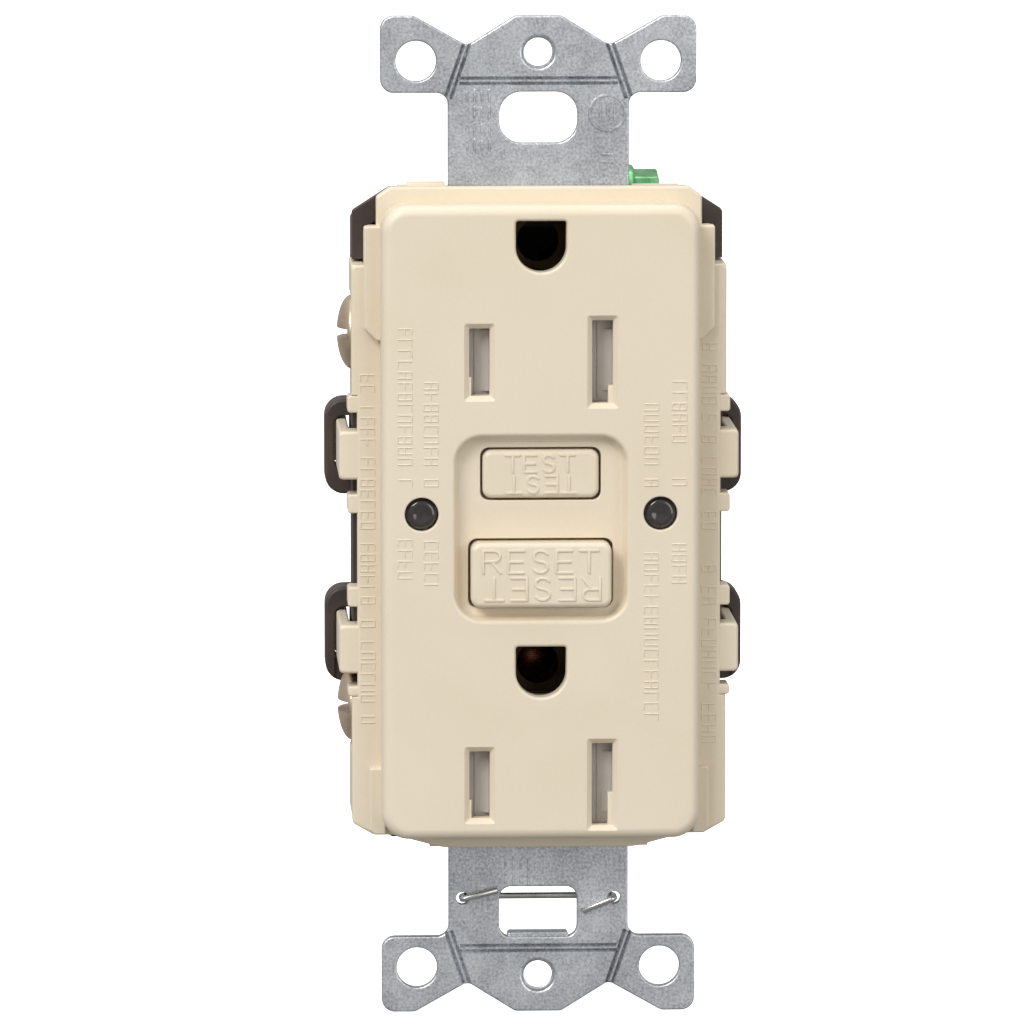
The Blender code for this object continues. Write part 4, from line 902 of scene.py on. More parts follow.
@dataclass
class StrokePattern(Pattern):
    """A row of small raised marks along +X, shaped a little like letters but with no words."""

    name: str = "strokes"
    inputs: dict[str, str] = field(default_factory=lambda: {
        "Count": COUNT, "Pitch": FLOAT, "Stroke Length": FLOAT, "Stroke Radius": FLOAT,
        "Share Kept": FLOAT, "Seed": COUNT})

    def shape(self) -> Socket:
        """Upright strokes in pairs with short bars between them, and spaces left at random."""
        step = add_node(self.tree, "ShaderNodeCombineXYZ", inputs={"X": self.size("Pitch")})
        row = add_node(self.tree, "GeometryNodeMeshLine", {"mode": "OFFSET"}, {
            "Count": self.size("Count"), "Offset": step.outputs[0]})
        stem_end = add_node(self.tree, "ShaderNodeCombineXYZ", inputs={
            "Y": self.size("Stroke Length")})
        wide = calculated(self.tree, "MULTIPLY", self.size("Pitch"), 0.58)
        bar_end = add_node(self.tree, "ShaderNodeCombineXYZ", inputs={"X": wide})
        stem, bar = self.rod(stem_end.outputs[0]), self.rod(bar_end.outputs[0])
        kept = self.chance(self.size("Share Kept"), 0)
        letters = add_node(self.tree, "GeometryNodeSeparateGeometry", {"domain": "POINT"}, {
            "Geometry": row.outputs[0], "Selection": kept}).outputs[0]
        sets = [self.placed(letters, stem, None, None)]
        sets.append(self.placed(letters, stem, bar_end.outputs[0], self.chance(0.45, 5)))
        for share, level, seed in ((0.6, 1.0, 9), (0.5, 0.5, 13), (0.45, 0.0, 17)):
            rise = add_node(self.tree, "ShaderNodeVectorMath", {"operation": "SCALE"}, {
                0: stem_end.outputs[0], "Scale": level})
            sets.append(self.placed(letters, bar, rise.outputs[0], self.chance(share, seed)))
        whole = add_node(self.tree, "GeometryNodeJoinGeometry")
        for part in sets:
            self.tree.links.new(part, whole.inputs[0])
        return whole.outputs[0]

    def rod(self, end: Socket) -> Socket:
        """Thin round rod from the origin to a point."""
        line = add_node(self.tree, "GeometryNodeCurvePrimitiveLine", inputs={"End": end})
        return self.swept(line.outputs[0], 8, "Stroke Radius", True)

    def chance(self, share: float | Socket, shift: int) -> Socket:
        """True for a share of the points, on a seed of its own."""
        drawn = add_node(self.tree, "FunctionNodeRandomValue", {"data_type": "BOOLEAN"}, {
            "Probability": share,
            "Seed": calculated(self.tree, "ADD", self.size("Seed"), float(shift))})
        return drawn.outputs[3]

    def placed(self, points: Socket, rod: Socket,
               shift: Socket | None,
               chosen: Socket | None) -> Socket:
        """Rods on the chosen points, moved by a shift."""
        if shift is not None:
            points = add_node(self.tree, "GeometryNodeSetPosition", inputs={
                "Geometry": points, "Offset": shift}).outputs[0]
        spots = add_node(self.tree, "GeometryNodeInstanceOnPoints", inputs={
            "Points": points, "Instance": rod})
        if chosen is not None:
            self.tree.links.new(chosen, spots.inputs["Selection"])
        return spots.outputs[0]


@dataclass
class RingWindingPattern(Pattern):
    """Turns of wire wound round a ring core about +Z, each turn a closed rounded loop."""

    name: str = "ring_winding"
    inputs: dict[str, str] = field(default_factory=lambda: {
        "Turns": COUNT, "Core Radius": FLOAT, "Loop Width": FLOAT, "Loop Height": FLOAT,
        "Wire Radius": FLOAT})

    def shape(self) -> Socket:
        """Loops stood on the points of a circle, each facing along it."""
        ring = add_node(self.tree, "GeometryNodeMeshCircle", inputs={
            "Vertices": self.size("Turns"), "Radius": self.size("Core Radius")})
        loop = add_node(self.tree, "GeometryNodeCurvePrimitiveQuadrilateral", inputs={
            "Width": self.size("Loop Width"), "Height": self.size("Loop Height")})
        soft = add_node(self.tree, "GeometryNodeFilletCurve", {"mode": "POLY"}, {
            "Curve": loop.outputs[0], "Count": 4, "Radius": 0.5 * MM})
        stood = add_node(self.tree, "GeometryNodeTransform", inputs={
            "Geometry": self.swept(soft.outputs[0], 8, "Wire Radius", False),
            "Rotation": (math.pi / 2, 0.0, 0.0)})
        index = add_node(self.tree, "GeometryNodeInputIndex")
        part = calculated(self.tree, "DIVIDE", index.outputs[0], self.size("Turns"))
        angle = calculated(self.tree, "MULTIPLY", part, 2 * math.pi)
        facing = add_node(self.tree, "ShaderNodeCombineXYZ", inputs={"Z": angle})
        placed = add_node(self.tree, "GeometryNodeInstanceOnPoints", inputs={
            "Points": ring.outputs[0], "Instance": stood.outputs[0],
            "Rotation": facing.outputs[0]})
        return placed.outputs[0]


@dataclass
class BumpFieldPattern(Pattern):
    """A field of small domes on a grid about +Z, such as solder joints or grip pips."""

    name: str = "bump_field"
    inputs: dict[str, str] = field(default_factory=lambda: {
        "Width": FLOAT, "Depth": FLOAT, "Columns": COUNT, "Rows": COUNT,
        "Bump Radius": FLOAT, "Bump Height": FLOAT, "Share Kept": FLOAT, "Seed": COUNT})

    def shape(self) -> Socket:
        """Cones with a narrow top on the grid's points, with some left out."""
        grid = add_node(self.tree, "GeometryNodeMeshGrid", inputs={
            "Size X": self.size("Width"), "Size Y": self.size("Depth"),
            "Vertices X": self.size("Columns"), "Vertices Y": self.size("Rows")})
        kept = add_node(self.tree, "FunctionNodeRandomValue", {"data_type": "BOOLEAN"}, {
            "Probability": self.size("Share Kept"), "Seed": self.size("Seed")})
        tip = calculated(self.tree, "MULTIPLY", self.size("Bump Radius"), 0.35)
        bump = add_node(self.tree, "GeometryNodeMeshCone", inputs={
            "Vertices": 12, "Side Segments": 2, "Fill Segments": 1,
            "Radius Top": tip, "Radius Bottom": self.size("Bump Radius"),
            "Depth": self.size("Bump Height")})
        placed = add_node(self.tree, "GeometryNodeInstanceOnPoints", inputs={
            "Points": grid.outputs[0], "Selection": kept.outputs[3],
            "Instance": bump.outputs[0]})
        return placed.outputs[0]


@dataclass
class Workshop:
    """The finishes and patterns that every sub-assembly draws on."""

    palette: Palette = field(default_factory=Palette)
    coil: CoilPattern = field(default_factory=CoilPattern)
    strokes: StrokePattern = field(default_factory=StrokePattern)
    ring_winding: RingWindingPattern = field(default_factory=RingWindingPattern)
    bumps: BumpFieldPattern = field(default_factory=BumpFieldPattern)


@dataclass
class Assembly:
    """A group of pieces that are built and dressed together."""

    shop: Workshop

    @property
    def palette(self) -> Palette:
        """The workshop's finishes."""
        return self.shop.palette

    def settle(self, piece: Thing, body: Body, finish: Finish,
               nodes: tuple[str, ...] = ()) -> Thing:
        """Fixes a piece to its body and hides the plain solids that it stands for."""
        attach(piece, body.value)
        if nodes:
            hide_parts(*nodes)
        log.info("%s: %d faces, rides on %s", piece.name, len(piece.data.polygons), body.value)
        return piece

    def put(self, name: str, shape: Solid, finish: Finish, body: Body,
            nodes: tuple[str, ...] = (), sharp: float = 32.0) -> Thing:
        """Makes a piece from a solid in millimetres and settles it."""
        return self.settle(made(name, shape, finish, sharp), body, finish, nodes)

    def wind(self, name: str, finish: Finish, body: Body, place: Matrix, turns: float,
             radius: float, height: float, wire_r: float, facets: tuple[int, int],
             nodes: tuple[str, ...] = ()) -> Thing:
        """Winds a helix of wire with sizes in millimetres and settles it.

        Args:
            name: Name of the piece.
            finish: What the wire is made of.
            body: What it rides on.
            place: Where the helix starts and points, in metres.
            turns: Number of turns.
            radius: Radius of the helix.
            height: Its length along its axis.
            wire_r: Radius of the wire.
            facets: Points in each turn and sides of the wire.
            nodes: The plain solids that it stands for.

        Returns:
            The finished piece.
        """
        coil = self.shop.coil.grow(name, finish, {
            "Turns": turns, "Radius": radius * MM, "Height": height * MM,
            "Wire Radius": wire_r * MM, "Points Per Turn": facets[0], "Sides": facets[1]},
            place)
        return self.settle(coil, body, finish, nodes)

    def dress(self, finish: Finish, *nodes: str) -> None:
        """Gives carried-over solids their finish."""
        for node in nodes:
            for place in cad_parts[node].material_slots:
                place.material = finish.material()
            log.info("%s: dressed in %s", node, finish.name)

    def build(self) -> None:
        """Builds the sub-assembly; each one has its own way."""
        raise NotImplementedError


def box_mm(node: str) -> tuple[Vector, Vector]:
    """Lowest and highest corner of a solid in millimetres."""
    low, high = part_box(node)
    return low / MM, high / MM


def standing(axis: Axis, x: float, y: float, z: float, flip: bool = False) -> Matrix:
    """Place in metres for a pattern whose +Z goes along an axis from a point in millimetres."""
    back = Matrix.Rotation(math.pi, 4, "X") if flip else Matrix.Identity(4)
    return Matrix.Translation(Vector((x, y, z)) * MM) @ axis.turn() @ back


# ---- Cover -------------------------------------------------------------------------------
@dataclass
class Cover(Assembly):
    """Moulded front: raised face with outlets and a button recess, the band around it, side
    skirts, latch arms and the raised notes that run along both sides."""

    face_w: float = 33.0
    face_h: float = 66.1
    face_y: float = -7.5
    face_r: float = 2.6
    edge_r: float = 1.15
    band_y: float = -2.8
    band_back: float = -1.5
    half_h: float = 34.6
    skirt_x: float = 19.5
    skirt_y: float = 7.0
    middle_x: float = 18.9
    tab_x: float = 19.9
    step_x: float = 18.2
    top_x: float = 16.9
    corner_z: float = 26.5
    rim_y: float = 1.0
    latch_x: Point = (19.6, 20.8)
    latch_y: float = 16.0
    loop_back: float = 14.6
    tab_z: tuple[Point, ...] = ((11.1, 12.9), (0.6, 2.6), (-9.2, -7.1), (-18.6, -17.5))
    lip_x: Point = (16.4, 17.6)
    recess: Spot = (18.2, 19.6, -0.5)
    recess_r: float = 3.0
    floor_y: float = -6.0
    hot: Point = (2.13, 7.0)
    neutral: Point = (2.17, 8.6)
    ground_size: Point = (5.24, 5.3)
    lens_r: float = 1.75
    screw_room: float = 0.35
    cover_wall: float = 1.7
    note_pitch: float = 1.12
    note_height: float = 1.45
    note_radius: float = 0.1
    note_share: float = 0.86

    def band_outline(self) -> Outline:
        """Band around the face: stepped at the upper corners, curved at the lower ones."""
        top, skirt = self.half_h, self.skirt_x
        right = [(self.top_x - 1.4, top, 0.5), (self.top_x, top - 1.0, 0.5),
                 (self.top_x, top - 4.0, 0), (self.step_x, top - 4.0, 0.6),
                 (self.step_x, self.corner_z, 0), (skirt, self.corner_z, 0.6),
                 (skirt, self.tab_z[0][1], 0), (self.middle_x, self.tab_z[0][1], 0),
                 (self.middle_x, self.tab_z[-1][0], 0), (skirt, self.tab_z[-1][0], 0),
                 (skirt, 2.7 - top, 0.6), (skirt - 2.3, 1.4 - top, 0.8),
                 (skirt - 4.3, 1.4 - top, 0), (10.0, -top, 6.0)]
        return rounded(mirrored(right), 5)

    def face(self) -> Solid:
        """Raised face with a full rounding round its front edge."""
        layers = [(self.face_y + along,
                   rounded_rectangle(0, 0, self.face_w - 2 * shrink, self.face_h - 2 * shrink,
                                     self.face_r + 0.2 - shrink, 14))
                  for along, shrink in quarter(self.edge_r, 9)]
        layers.append((self.band_back, layers[-1][1]))
        return loft(Axis.Y, layers)

    def skirts(self) -> list[Solid]:
        """Everything behind and beside the band: skirts, lips, tabs, latch arms and pads."""
        root, room = self.band_y + 0.4, self.screw_room
        line, load = (box_mm(name + "_hot_screw") for name in ("line", "load"))
        adds = []
        for side in (-1, 1):
            spans = ((line[1].z + room, self.corner_z), (3.2 - self.half_h, load[0].z - room))
            for low, high in spans:
                adds.append(block(side * (self.skirt_x - 1.4), side * self.skirt_x, root,
                                  self.skirt_y, low, high, 0.15, 0.2))
            for low, high in ((6.1 - self.half_h, load[0].z - room),
                              (load[1].z + room, line[0].z - room),
                              (line[1].z + room, self.half_h - 6.1)):
                adds.append(block(side * self.lip_x[0], side * self.lip_x[1], root, 3.2, low,
                                  high, 0.15, 0.2))
            for outer, low, high in ((self.top_x - 2.3, self.half_h - 1.3, self.half_h),
                                     (11.4, 0.1 - self.half_h, 1.3 - self.half_h)):
                adds.append(block(side * 9.7, side * outer, root, self.rim_y, low, high, 0.1))
            for low, high in self.tab_z:
                adds.append(block(side * (self.skirt_x - 1.53), side * self.tab_x,
                                  self.band_y + 0.07, self.rim_y - 0.03, low + 0.02,
                                  high - 0.02, 0.2, 0.3))
            for low, high in LATCH_Z:
                adds.append(block(side * (self.skirt_x - 1.57), side * self.latch_x[1],
                                  self.band_y + 0.1, self.rim_y - 0.06, low + 0.02,
                                  high - 0.02, 0.35, 0.5))
                adds.append(block(side * self.latch_x[0], side * (self.latch_x[1] - 0.03), root,
                                  self.latch_y, low + 0.04, high - 0.04, 0.2, 0.3))
                back, out = self.loop_back + GAP, self.latch_x[1]
                barb = [(back, out - 0.3, 0), (back, out + 0.8, 0.15),
                        (self.latch_y, out - 0.3, 0)]
                adds.append(prism(Axis.Z, [(side * x, y) for y, x in rounded(barb, 3)],
                                  low + 0.1, high - 0.1))
            for half_w, low, high, slant in ((self.step_x, 18.7, self.half_h - 4.0, 1.3),
                                             (self.step_x - 0.5, 1.6 - self.half_h, -26.0,
                                              0.5)):
                inner = self.face_w / 2 - 0.5
                pad = [(side * inner, high, 0), (side * half_w, high, 0.25),
                       (side * half_w, low + slant, 0.3), (side * (half_w - slant), low, 0.3),
                       (side * inner, low, 0)]
                adds.append(prism(Axis.Y, rounded(pad, 4), self.band_y - 1.1,
                                  self.band_y + 0.5, 0.22))
        adds.append(block(3.3 - self.top_x, -9.7, -1.0, self.rim_y, self.half_h - 0.6,
                          self.half_h + 0.3, 0.1))
        return adds

    def recess_cut(self) -> Solid:
        """Tool for the button recess: rounded rim, slight draft and a filleted floor."""
        width, height, z = self.recess
        outline = rounded_rectangle(0, z, width - 0.5, height - 0.5, self.recess_r - 0.25, 12)
        rim, fillet, draft, steps = 0.45, 0.55, 0.25, 5
        layers = [(self.face_y - 1, inset(outline, -rim))]
        layers += [(self.face_y + along, inset(outline, -out))
                   for along, out in quarter(rim, steps)]
        layers += [(self.floor_y - along, inset(outline, draft + out))
                   for out, along in quarter(fillet, steps)]
        return loft(Axis.Y, layers)

    def slot_cut(self, x: float, z: float, size: Point) -> Solid:
        """Tool for a blade slot with a crisp chamfer whose corners are just softened."""
        width, height = size
        chamfer, soft = 0.5, 0.08
        layers = []
        for y, grow in ((self.face_y - 1, chamfer + soft), (self.face_y, chamfer + soft),
                        (self.face_y + 0.04, chamfer), (self.face_y + chamfer, soft),
                        (self.face_y + chamfer + 0.1, 0.0), (0.0, 0.0)):
            layers.append((y, rounded_rectangle(x, z, width + 2 * grow, height + 2 * grow,
                                                0.12 + grow * 0.25, 3)))
        return loft(Axis.Y, layers)

    def ground_cut(self, z: float) -> Solid:
        """Tool for a ground opening: flat on top, half round below, with an eased edge."""
        width, height = self.ground_size
        radius = width / 2
        middle = z - height / 2 + radius
        arc = [(radius * math.cos(math.pi + math.pi * k / 28),
                middle + radius * math.sin(math.pi + math.pi * k / 28)) for k in range(29)]
        top = rounded([(radius, middle + 0.2, 0), (radius, z + height / 2, 0.3),
                       (-radius, z + height / 2, 0.3), (-radius, middle + 0.2, 0)], 4)
        return cutter(arc + top, self.face_y, 0.0, 0.35)

    def cuts(self) -> list[Solid]:
        """Tools for every opening in the face."""
        tools = [self.recess_cut()]
        for width, height, z in (TEST_OPENING, RESET_OPENING):
            tools.append(cutter(rounded_rectangle(0, z, width, height, 0.9, 6), self.floor_y,
                                0.0, 0.14))
        for z in BLADE_Z:
            tools.append(self.slot_cut(-BLADE_X, z, self.hot))
            tools.append(self.slot_cut(BLADE_X, z, self.neutral))
        tools += [self.ground_cut(z) for z in GROUND_Z]
        for side in (-1, 1):
            tools.append(cutter(circle(side * LENS_X, LENS_Z, self.lens_r), self.face_y, 0.0,
                                0.16))
        return tools

    def build(self) -> None:
        """Builds the cover in one piece, then its raised notes."""
        cavity = (self.face_w / 2 - 1.5, self.face_h / 2 - 1.1)
        shell = carved([self.face(), prism(Axis.Y, self.band_outline(), self.band_y,
                                           self.band_back, 0.3)],
                       [block(-cavity[0], cavity[0], self.face_y + 2.0, 0, -cavity[1],
                              cavity[1])])
        width, height, z = self.recess
        floor = block(-width / 2 - 0.9, width / 2 + 0.9, self.floor_y,
                      self.floor_y + self.cover_wall,
                      z - height / 2 - 0.9, z + height / 2 + 0.9)
        body = carved([shell, floor] + self.skirts(), self.cuts())
        ledges = []
        for z, low in zip(BLADE_Z, (-2.5, -0.9)):
            right = BLADE_X + self.neutral[0] / 2
            ledges.append(block(right - 0.5, right + 0.4, self.face_y + 0.62,
                                self.face_y + 2.0, z - self.neutral[1] / 2 - 0.3, z + low,
                                0.08))
            left = -BLADE_X - self.hot[0] / 2
            ledges.append(block(left - 0.4, left + 0.22, self.face_y + 0.62,
                                self.face_y + 2.0, z - self.hot[1] / 2 - 0.3, z - 1.6, 0.05))
        self.put("cover", carved([body] + ledges), self.palette.almond, Body.DEVICE,
                 ("front_cover",))
        self.add_notes()

    def add_notes(self) -> None:
        """Raised rows of plain strokes where a maker moulds its notes, without any words."""
        # Each column has its x, its surface and the top and bottom of every row in it.
        band, face = self.band_y + 0.03, self.face_y + 0.03
        columns = [(-17.85, band, (16.2, 7.4), (6.4, -9.5), (-10.6, -21.3)),
                   (17.75, band, (18.2, 11.8), (10.8, 1.6), (0.6, -9.6), (-10.6, -24.5)),
                   (-14.1, face, (20.3, 3.4), (-1.6, -6.4)),
                   (-11.4, face, (14.7, 3.4), (-1.8, -7.8)),
                   (11.4, face, (12.4, 3.2), (-2.0, -20.8)),
                   (14.3, face, (14.7, 3.0), (-2.2, -6.4))]
        rows = [(x, top, bottom, y) for x, y, *ends in columns for top, bottom in ends]
        pitch, tall = self.note_pitch, self.note_height
        pieces = []
        for seed, (x, top, bottom, y) in enumerate(rows):
            # The row runs down the side: its own +X points down and its +Y to the right.
            place = Matrix.Translation(Vector((x - tall / 2, y, top)) * MM)
            place = place @ Matrix(((0, 1, 0, 0), (0, 0, -1, 0), (-1, 0, 0, 0), (0, 0, 0, 1)))
            pieces.append(self.shop.strokes.grow(
                f"notes_{seed}", self.palette.almond,
                {"Count": round((top - bottom) / pitch), "Pitch": pitch * MM,
                 "Stroke Length": tall * MM, "Stroke Radius": self.note_radius * MM,
                 "Share Kept": self.note_share, "Seed": 3 + seed}, place))
        whole = bmesh.new()
        for piece in pieces:
            whole.from_mesh(piece.data)
            bpy.data.objects.remove(piece, do_unlink=True)
        bmesh.ops.recalc_face_normals(whole, faces=whole.faces)
        bmesh.ops.scale(whole, vec=(1 / MM,) * 3, verts=whole.verts)
        self.put("cover_notes", whole, self.palette.almond, Body.DEVICE, sharp=50.0)


# ---- Buttons and lenses ------------------------------------------------------------------
class Word(Enum):
    """Plain function words on the two buttons."""

    TEST = "TEST"
    RESET = "RESET"

    def strokes(self) -> list[tuple[float, list[Point]]]:
        """Each stroke with its letter's place, in shares of the letter height."""
        bowl = [(0.0, 1.0), (0.42, 1.0)]
        bowl += [(0.42 + 0.24 * math.sin(math.pi * k / 8), 0.76 + 0.24 * math.cos(math.pi * k / 8))
                 for k in range(1, 9)]
        bowl += [(0.0, 0.52)]
        upper = [(0.33 + 0.27 * math.cos(a), 0.75 + 0.25 * math.sin(a))
                 for a in (math.radians(25 + 245 * k / 9) for k in range(10))]
        lower = [(0.33 + 0.28 * math.cos(a), 0.25 + 0.25 * math.sin(a))
                 for a in (math.radians(90 - 245 * k / 9) for k in range(10))]
        shapes = {"T": (0.78, [[(0.0, 1.0), (0.7, 1.0)], [(0.35, 1.0), (0.35, 0.0)]]),
                  "E": (0.76, [[(0.0, 0.0), (0.0, 1.0)], [(0.0, 1.0), (0.6, 1.0)],
                               [(0.0, 0.5), (0.54, 0.5)], [(0.0, 0.0), (0.6, 0.0)]]),
                  "S": (0.78, [upper + lower[1:]]),
                  "R": (0.82, [[(0.0, 0.0), (0.0, 1.0)], bowl, [(0.34, 0.52), (0.68, 0.0)]])}
        placed = []
        along = 0.0
        for letter in self.value:
            width, lines = shapes[letter]
            placed += [(along, line) for line in lines]
            along += width + 0.17
        return [(start - (along - 0.17) / 2, line) for start, line in placed]


@dataclass
class PushButton(Assembly):
    """A push button: rounded cap, lip behind the recess floor and its word, upright and turned."""

    node: str = "test_button"
    word: Word = Word.TEST
    body: Body = Body.TEST
    opening: Spot = TEST_OPENING
    top_y: float = -6.3
    word_height: float = 1.75
    stretch: float = 1.15
    pin_hole: float = 0.0

    def cap(self) -> Solid:
        """Cap with a full edge rounding and corners that match its opening."""
        width, height, z = self.opening
        width, height = width - 0.44, height - 0.44
        layers = [(self.top_y + along,
                   rounded_rectangle(0, z, width - 2 * shrink, height - 2 * shrink,
                                     0.95 - shrink, 7))
                  for along, shrink in quarter(0.55, 7)]
        layers.append((-3.9, layers[-1][1]))
        return loft(Axis.Y, layers)

    def letters(self) -> list[Solid]:
        """Raised strokes of the word, upright in the upper half and turned in the lower."""
        z = self.opening[2]
        row = self.word_height * 0.62
        solids = []
        for turn in (1, -1):
            for k, (start, line) in enumerate(self.word.strokes()):
                points = [(turn * (start + u) * self.word_height * self.stretch,
                           z + turn * (row - self.word_height / 2 + v * self.word_height))
                          for u, v in line]
                lift = 0.13 - 0.004 * (k % 4)
                solids.append(prism(Axis.Y, ribbon(points, 0.27), self.top_y - lift,
                                    self.top_y + 0.2, 0.06, 0.0, 2))
        return solids

    def build(self) -> None:
        """Builds the button with its lip and raised word."""
        low, high = box_mm(self.node)
        lip = block(low.x, high.x, high.y - 0.8, high.y, low.z, high.z, 0.1, 0.3)
        cuts = []
        if self.pin_hole > 0:
            cuts.append(prism(Axis.Y, circle(0, self.opening[2], self.pin_hole), -4.9, 0))
        self.put(self.node + "_cap", carved([self.cap(), lip], cuts), self.palette.button,
                 self.body, (self.node,))
        self.put(self.node + "_word", joined(self.letters()), self.palette.button,
                 self.body)


@dataclass
class Lens(Assembly):
    """Smoked light pipe beside the buttons, with its lamp behind it."""

    word: str = "left"
    radius: float = 1.6

    def build(self) -> None:
        """Builds the lens with a domed, slightly dished front."""
        low, high = box_mm(self.word + "_lens")
        x, z = (low.x + high.x) / 2, (low.z + high.z) / 2
        front = low.y
        profile = [(front + 0.12, 0), (front + 0.1, 0.55), (front + 0.02, 0.85),
                   (front, 1.05)]
        for k in range(1, 7):
            angle = math.pi / 2 * k / 6
            profile.append((front + 0.5 * (1 - math.cos(angle)),
                            1.05 + (self.radius - 1.05) * math.sin(angle)))
        collar = -5.2
        profile += [(collar, self.radius), (collar, 2.1), (collar + 0.1, 2.2),
                    (collar + 0.7, 2.2), (collar + 0.8, 2.1), (collar + 0.8, 1.3),
                    (high.y - 0.1, 1.3), (high.y, 1.2), (high.y, 0)]
        self.put(self.word + "_light_pipe", turned(Axis.Y, x, z, profile, 56),
                 self.palette.smoke, Body.DEVICE, (self.word + "_lens",))
        self.dress(self.palette.resin, self.word + "_led")


# ---- Strap -------------------------------------------------------------------------------
@dataclass
class Strap(Assembly):
    """Galvanised mounting strap with pressed score lines, its spring clip and green screw."""

    thick: float = 1.2
    half_h: float = 52.2
    band_x: float = 9.4
    ear_x: float = 16.4
    ear_z: float = 44.2
    ear_hole: Spot = (12.7, 47.5, 2.1)
    plate_hole: Point = (48.4, 1.6)
    slot_z: float = 41.65
    slot_size: Point = (8.1, 5.3)
    inner_x: float = 14.4
    inner_z: Point = (27.0, -32.6)
    clip: Spot = (7.95, -40.2, 0.34)
    screw: Point = (7.0, 32.2)
    score: Spot = (0.62, 0.42, 0.42)
    crease: Spot = (0.55, 0.38, 0.36)
    hexagon: float = 3.6
    mark_relief: float = 0.13
    mark_width: float = 0.26
    ring: Spot = (7.15, 42.1, 1.84)

    def outline(self) -> Outline:
        """Sheet outline with its ears; inside the body it is wider."""
        end = [(2.4, self.half_h, 0.8), (7.4, 49.1, 1.0), (12.9, self.half_h, 1.0),
               (self.ear_x, self.half_h, 1.4), (self.ear_x, self.ear_z, 1.4),
               (self.band_x, self.ear_z, 1.2)]
        lower = [(x, -z, radius) for x, z, radius in reversed(end)]
        inner = [(self.band_x, self.inner_z[0], 0.4), (self.inner_x, self.inner_z[0], 1.0),
                 (self.inner_x, self.inner_z[1], 1.0), (self.band_x, self.inner_z[1], 0.4)]
        return rounded(mirrored(end + inner + lower), 9)

    def openings(self) -> list[Solid]:
        """Tools for the punched openings; each leaves a rolled edge at the front."""
        front = -self.thick
        tools = []
        width, height = self.slot_size
        for z, radius in ((self.slot_z, 2.3), (-self.slot_z, 1.2)):
            tools.append(cutter(rounded_rectangle(0, z, width, height, radius, 10), front, 0.0,
                                0.2, 0.12))
        for side in (-1, 1):
            for end in (-1, 1):
                x, z, radius = self.ear_hole
                tools.append(cutter(circle(side * x, end * z, radius, 56), front, 0.0, 0.2,
                                    0.12))
            x, z, radius = self.clip
            tools.append(cutter(circle(side * x, z, 0.65, 24), front, 0.0, 0.1, 0.1))
            for z in BLADE_Z:
                tools.append(block(side * (BLADE_X - 2.47), side * (BLADE_X + 2.63),
                                   front - 1, 1, z - 5, z + 5))
            tools.append(block(side * (LENS_X - 2.07), side * (self.inner_x + 1), front - 1, 1,
                               LENS_Z - 2.2, LENS_Z + 2.2))
        for z in GROUND_Z:
            tools.append(prism(Axis.Y, circle(0, z, 3.6, 32), front - 1, 1))
        tools.append(block(-8.7, 8.7, front - 1, 1, -10.2, 9.15))
        return tools

    def scores(self) -> list[Solid]:
        """Tools for the pressed pairs of lines: spacing, width and depth are in score, for the
        ears' break-off lines, and in crease, for the bend lines by the slots."""
        front = -self.thick
        tools = []
        for end in (-1, 1):
            for side in (-1, 1):
                for shift in (0.0, self.score[0]):
                    tools.append(groove((side * (7.1 + shift), end * 49.4),
                                        (side * (9.1 + shift), end * 43.6), front,
                                        *self.score[1:]))
            for shift in (0.0, self.crease[0]):
                z = end * (45.2 + shift)
                tools.append(groove((-8.2, z), (8.2, z), front, *self.crease[1:]))
        return tools

    def build(self) -> None:
        """Builds the sheet, the marks on it, the clip and the green screw."""
        front = -self.thick
        y, z = self.screw
        hole_z, hole_r = self.plate_hole
        low = -self.slot_z - self.slot_size[1] / 2
        sheet = prism(Axis.Y, self.outline(), front, 0.0, 0.2, 0.12, 4)
        tab = prism(Axis.X, rounded([(front + 0.6, z - 4.2, 0), (y + 5.0, z - 4.2, 1.2),
                                     (y + 5.0, z + 4.2, 1.2), (front + 0.6, z + 4.2, 0)], 6),
                    self.band_x - self.thick, self.band_x, 0.15, 0.15)
        adds = [sheet, tab]
        lip = block(-3.2, 3.2, front + 0.3, 1.3, low - 0.45, low + 0.42, 0.12, 0.3)
        cuts = self.openings() + self.scores()
        for end in (-1, 1):
            adds.append(turned(Axis.Y, 0, end * hole_z, [
                (front + 0.5, 0), (front + 0.5, hole_r + 0.9), (0.1, hole_r + 0.8),
                (0.8, hole_r + 0.7), (1.0, hole_r + 0.5), (1.0, 0)], 40))
            cuts.append(cutter(circle(0, end * hole_z, hole_r, 48), front, 2.0, 0.35))
        cuts.append(prism(Axis.X, circle(y, z, 2.15, 32), self.band_x - 3, self.band_x + 1))
        self.put("strap", carved([carved(adds, cuts), lip]), self.palette.zinc,
                 Body.DEVICE, ("mounting_strap",))
        self.add_notes()
        self.add_threads()
        self.add_clip()
        self.add_screw()

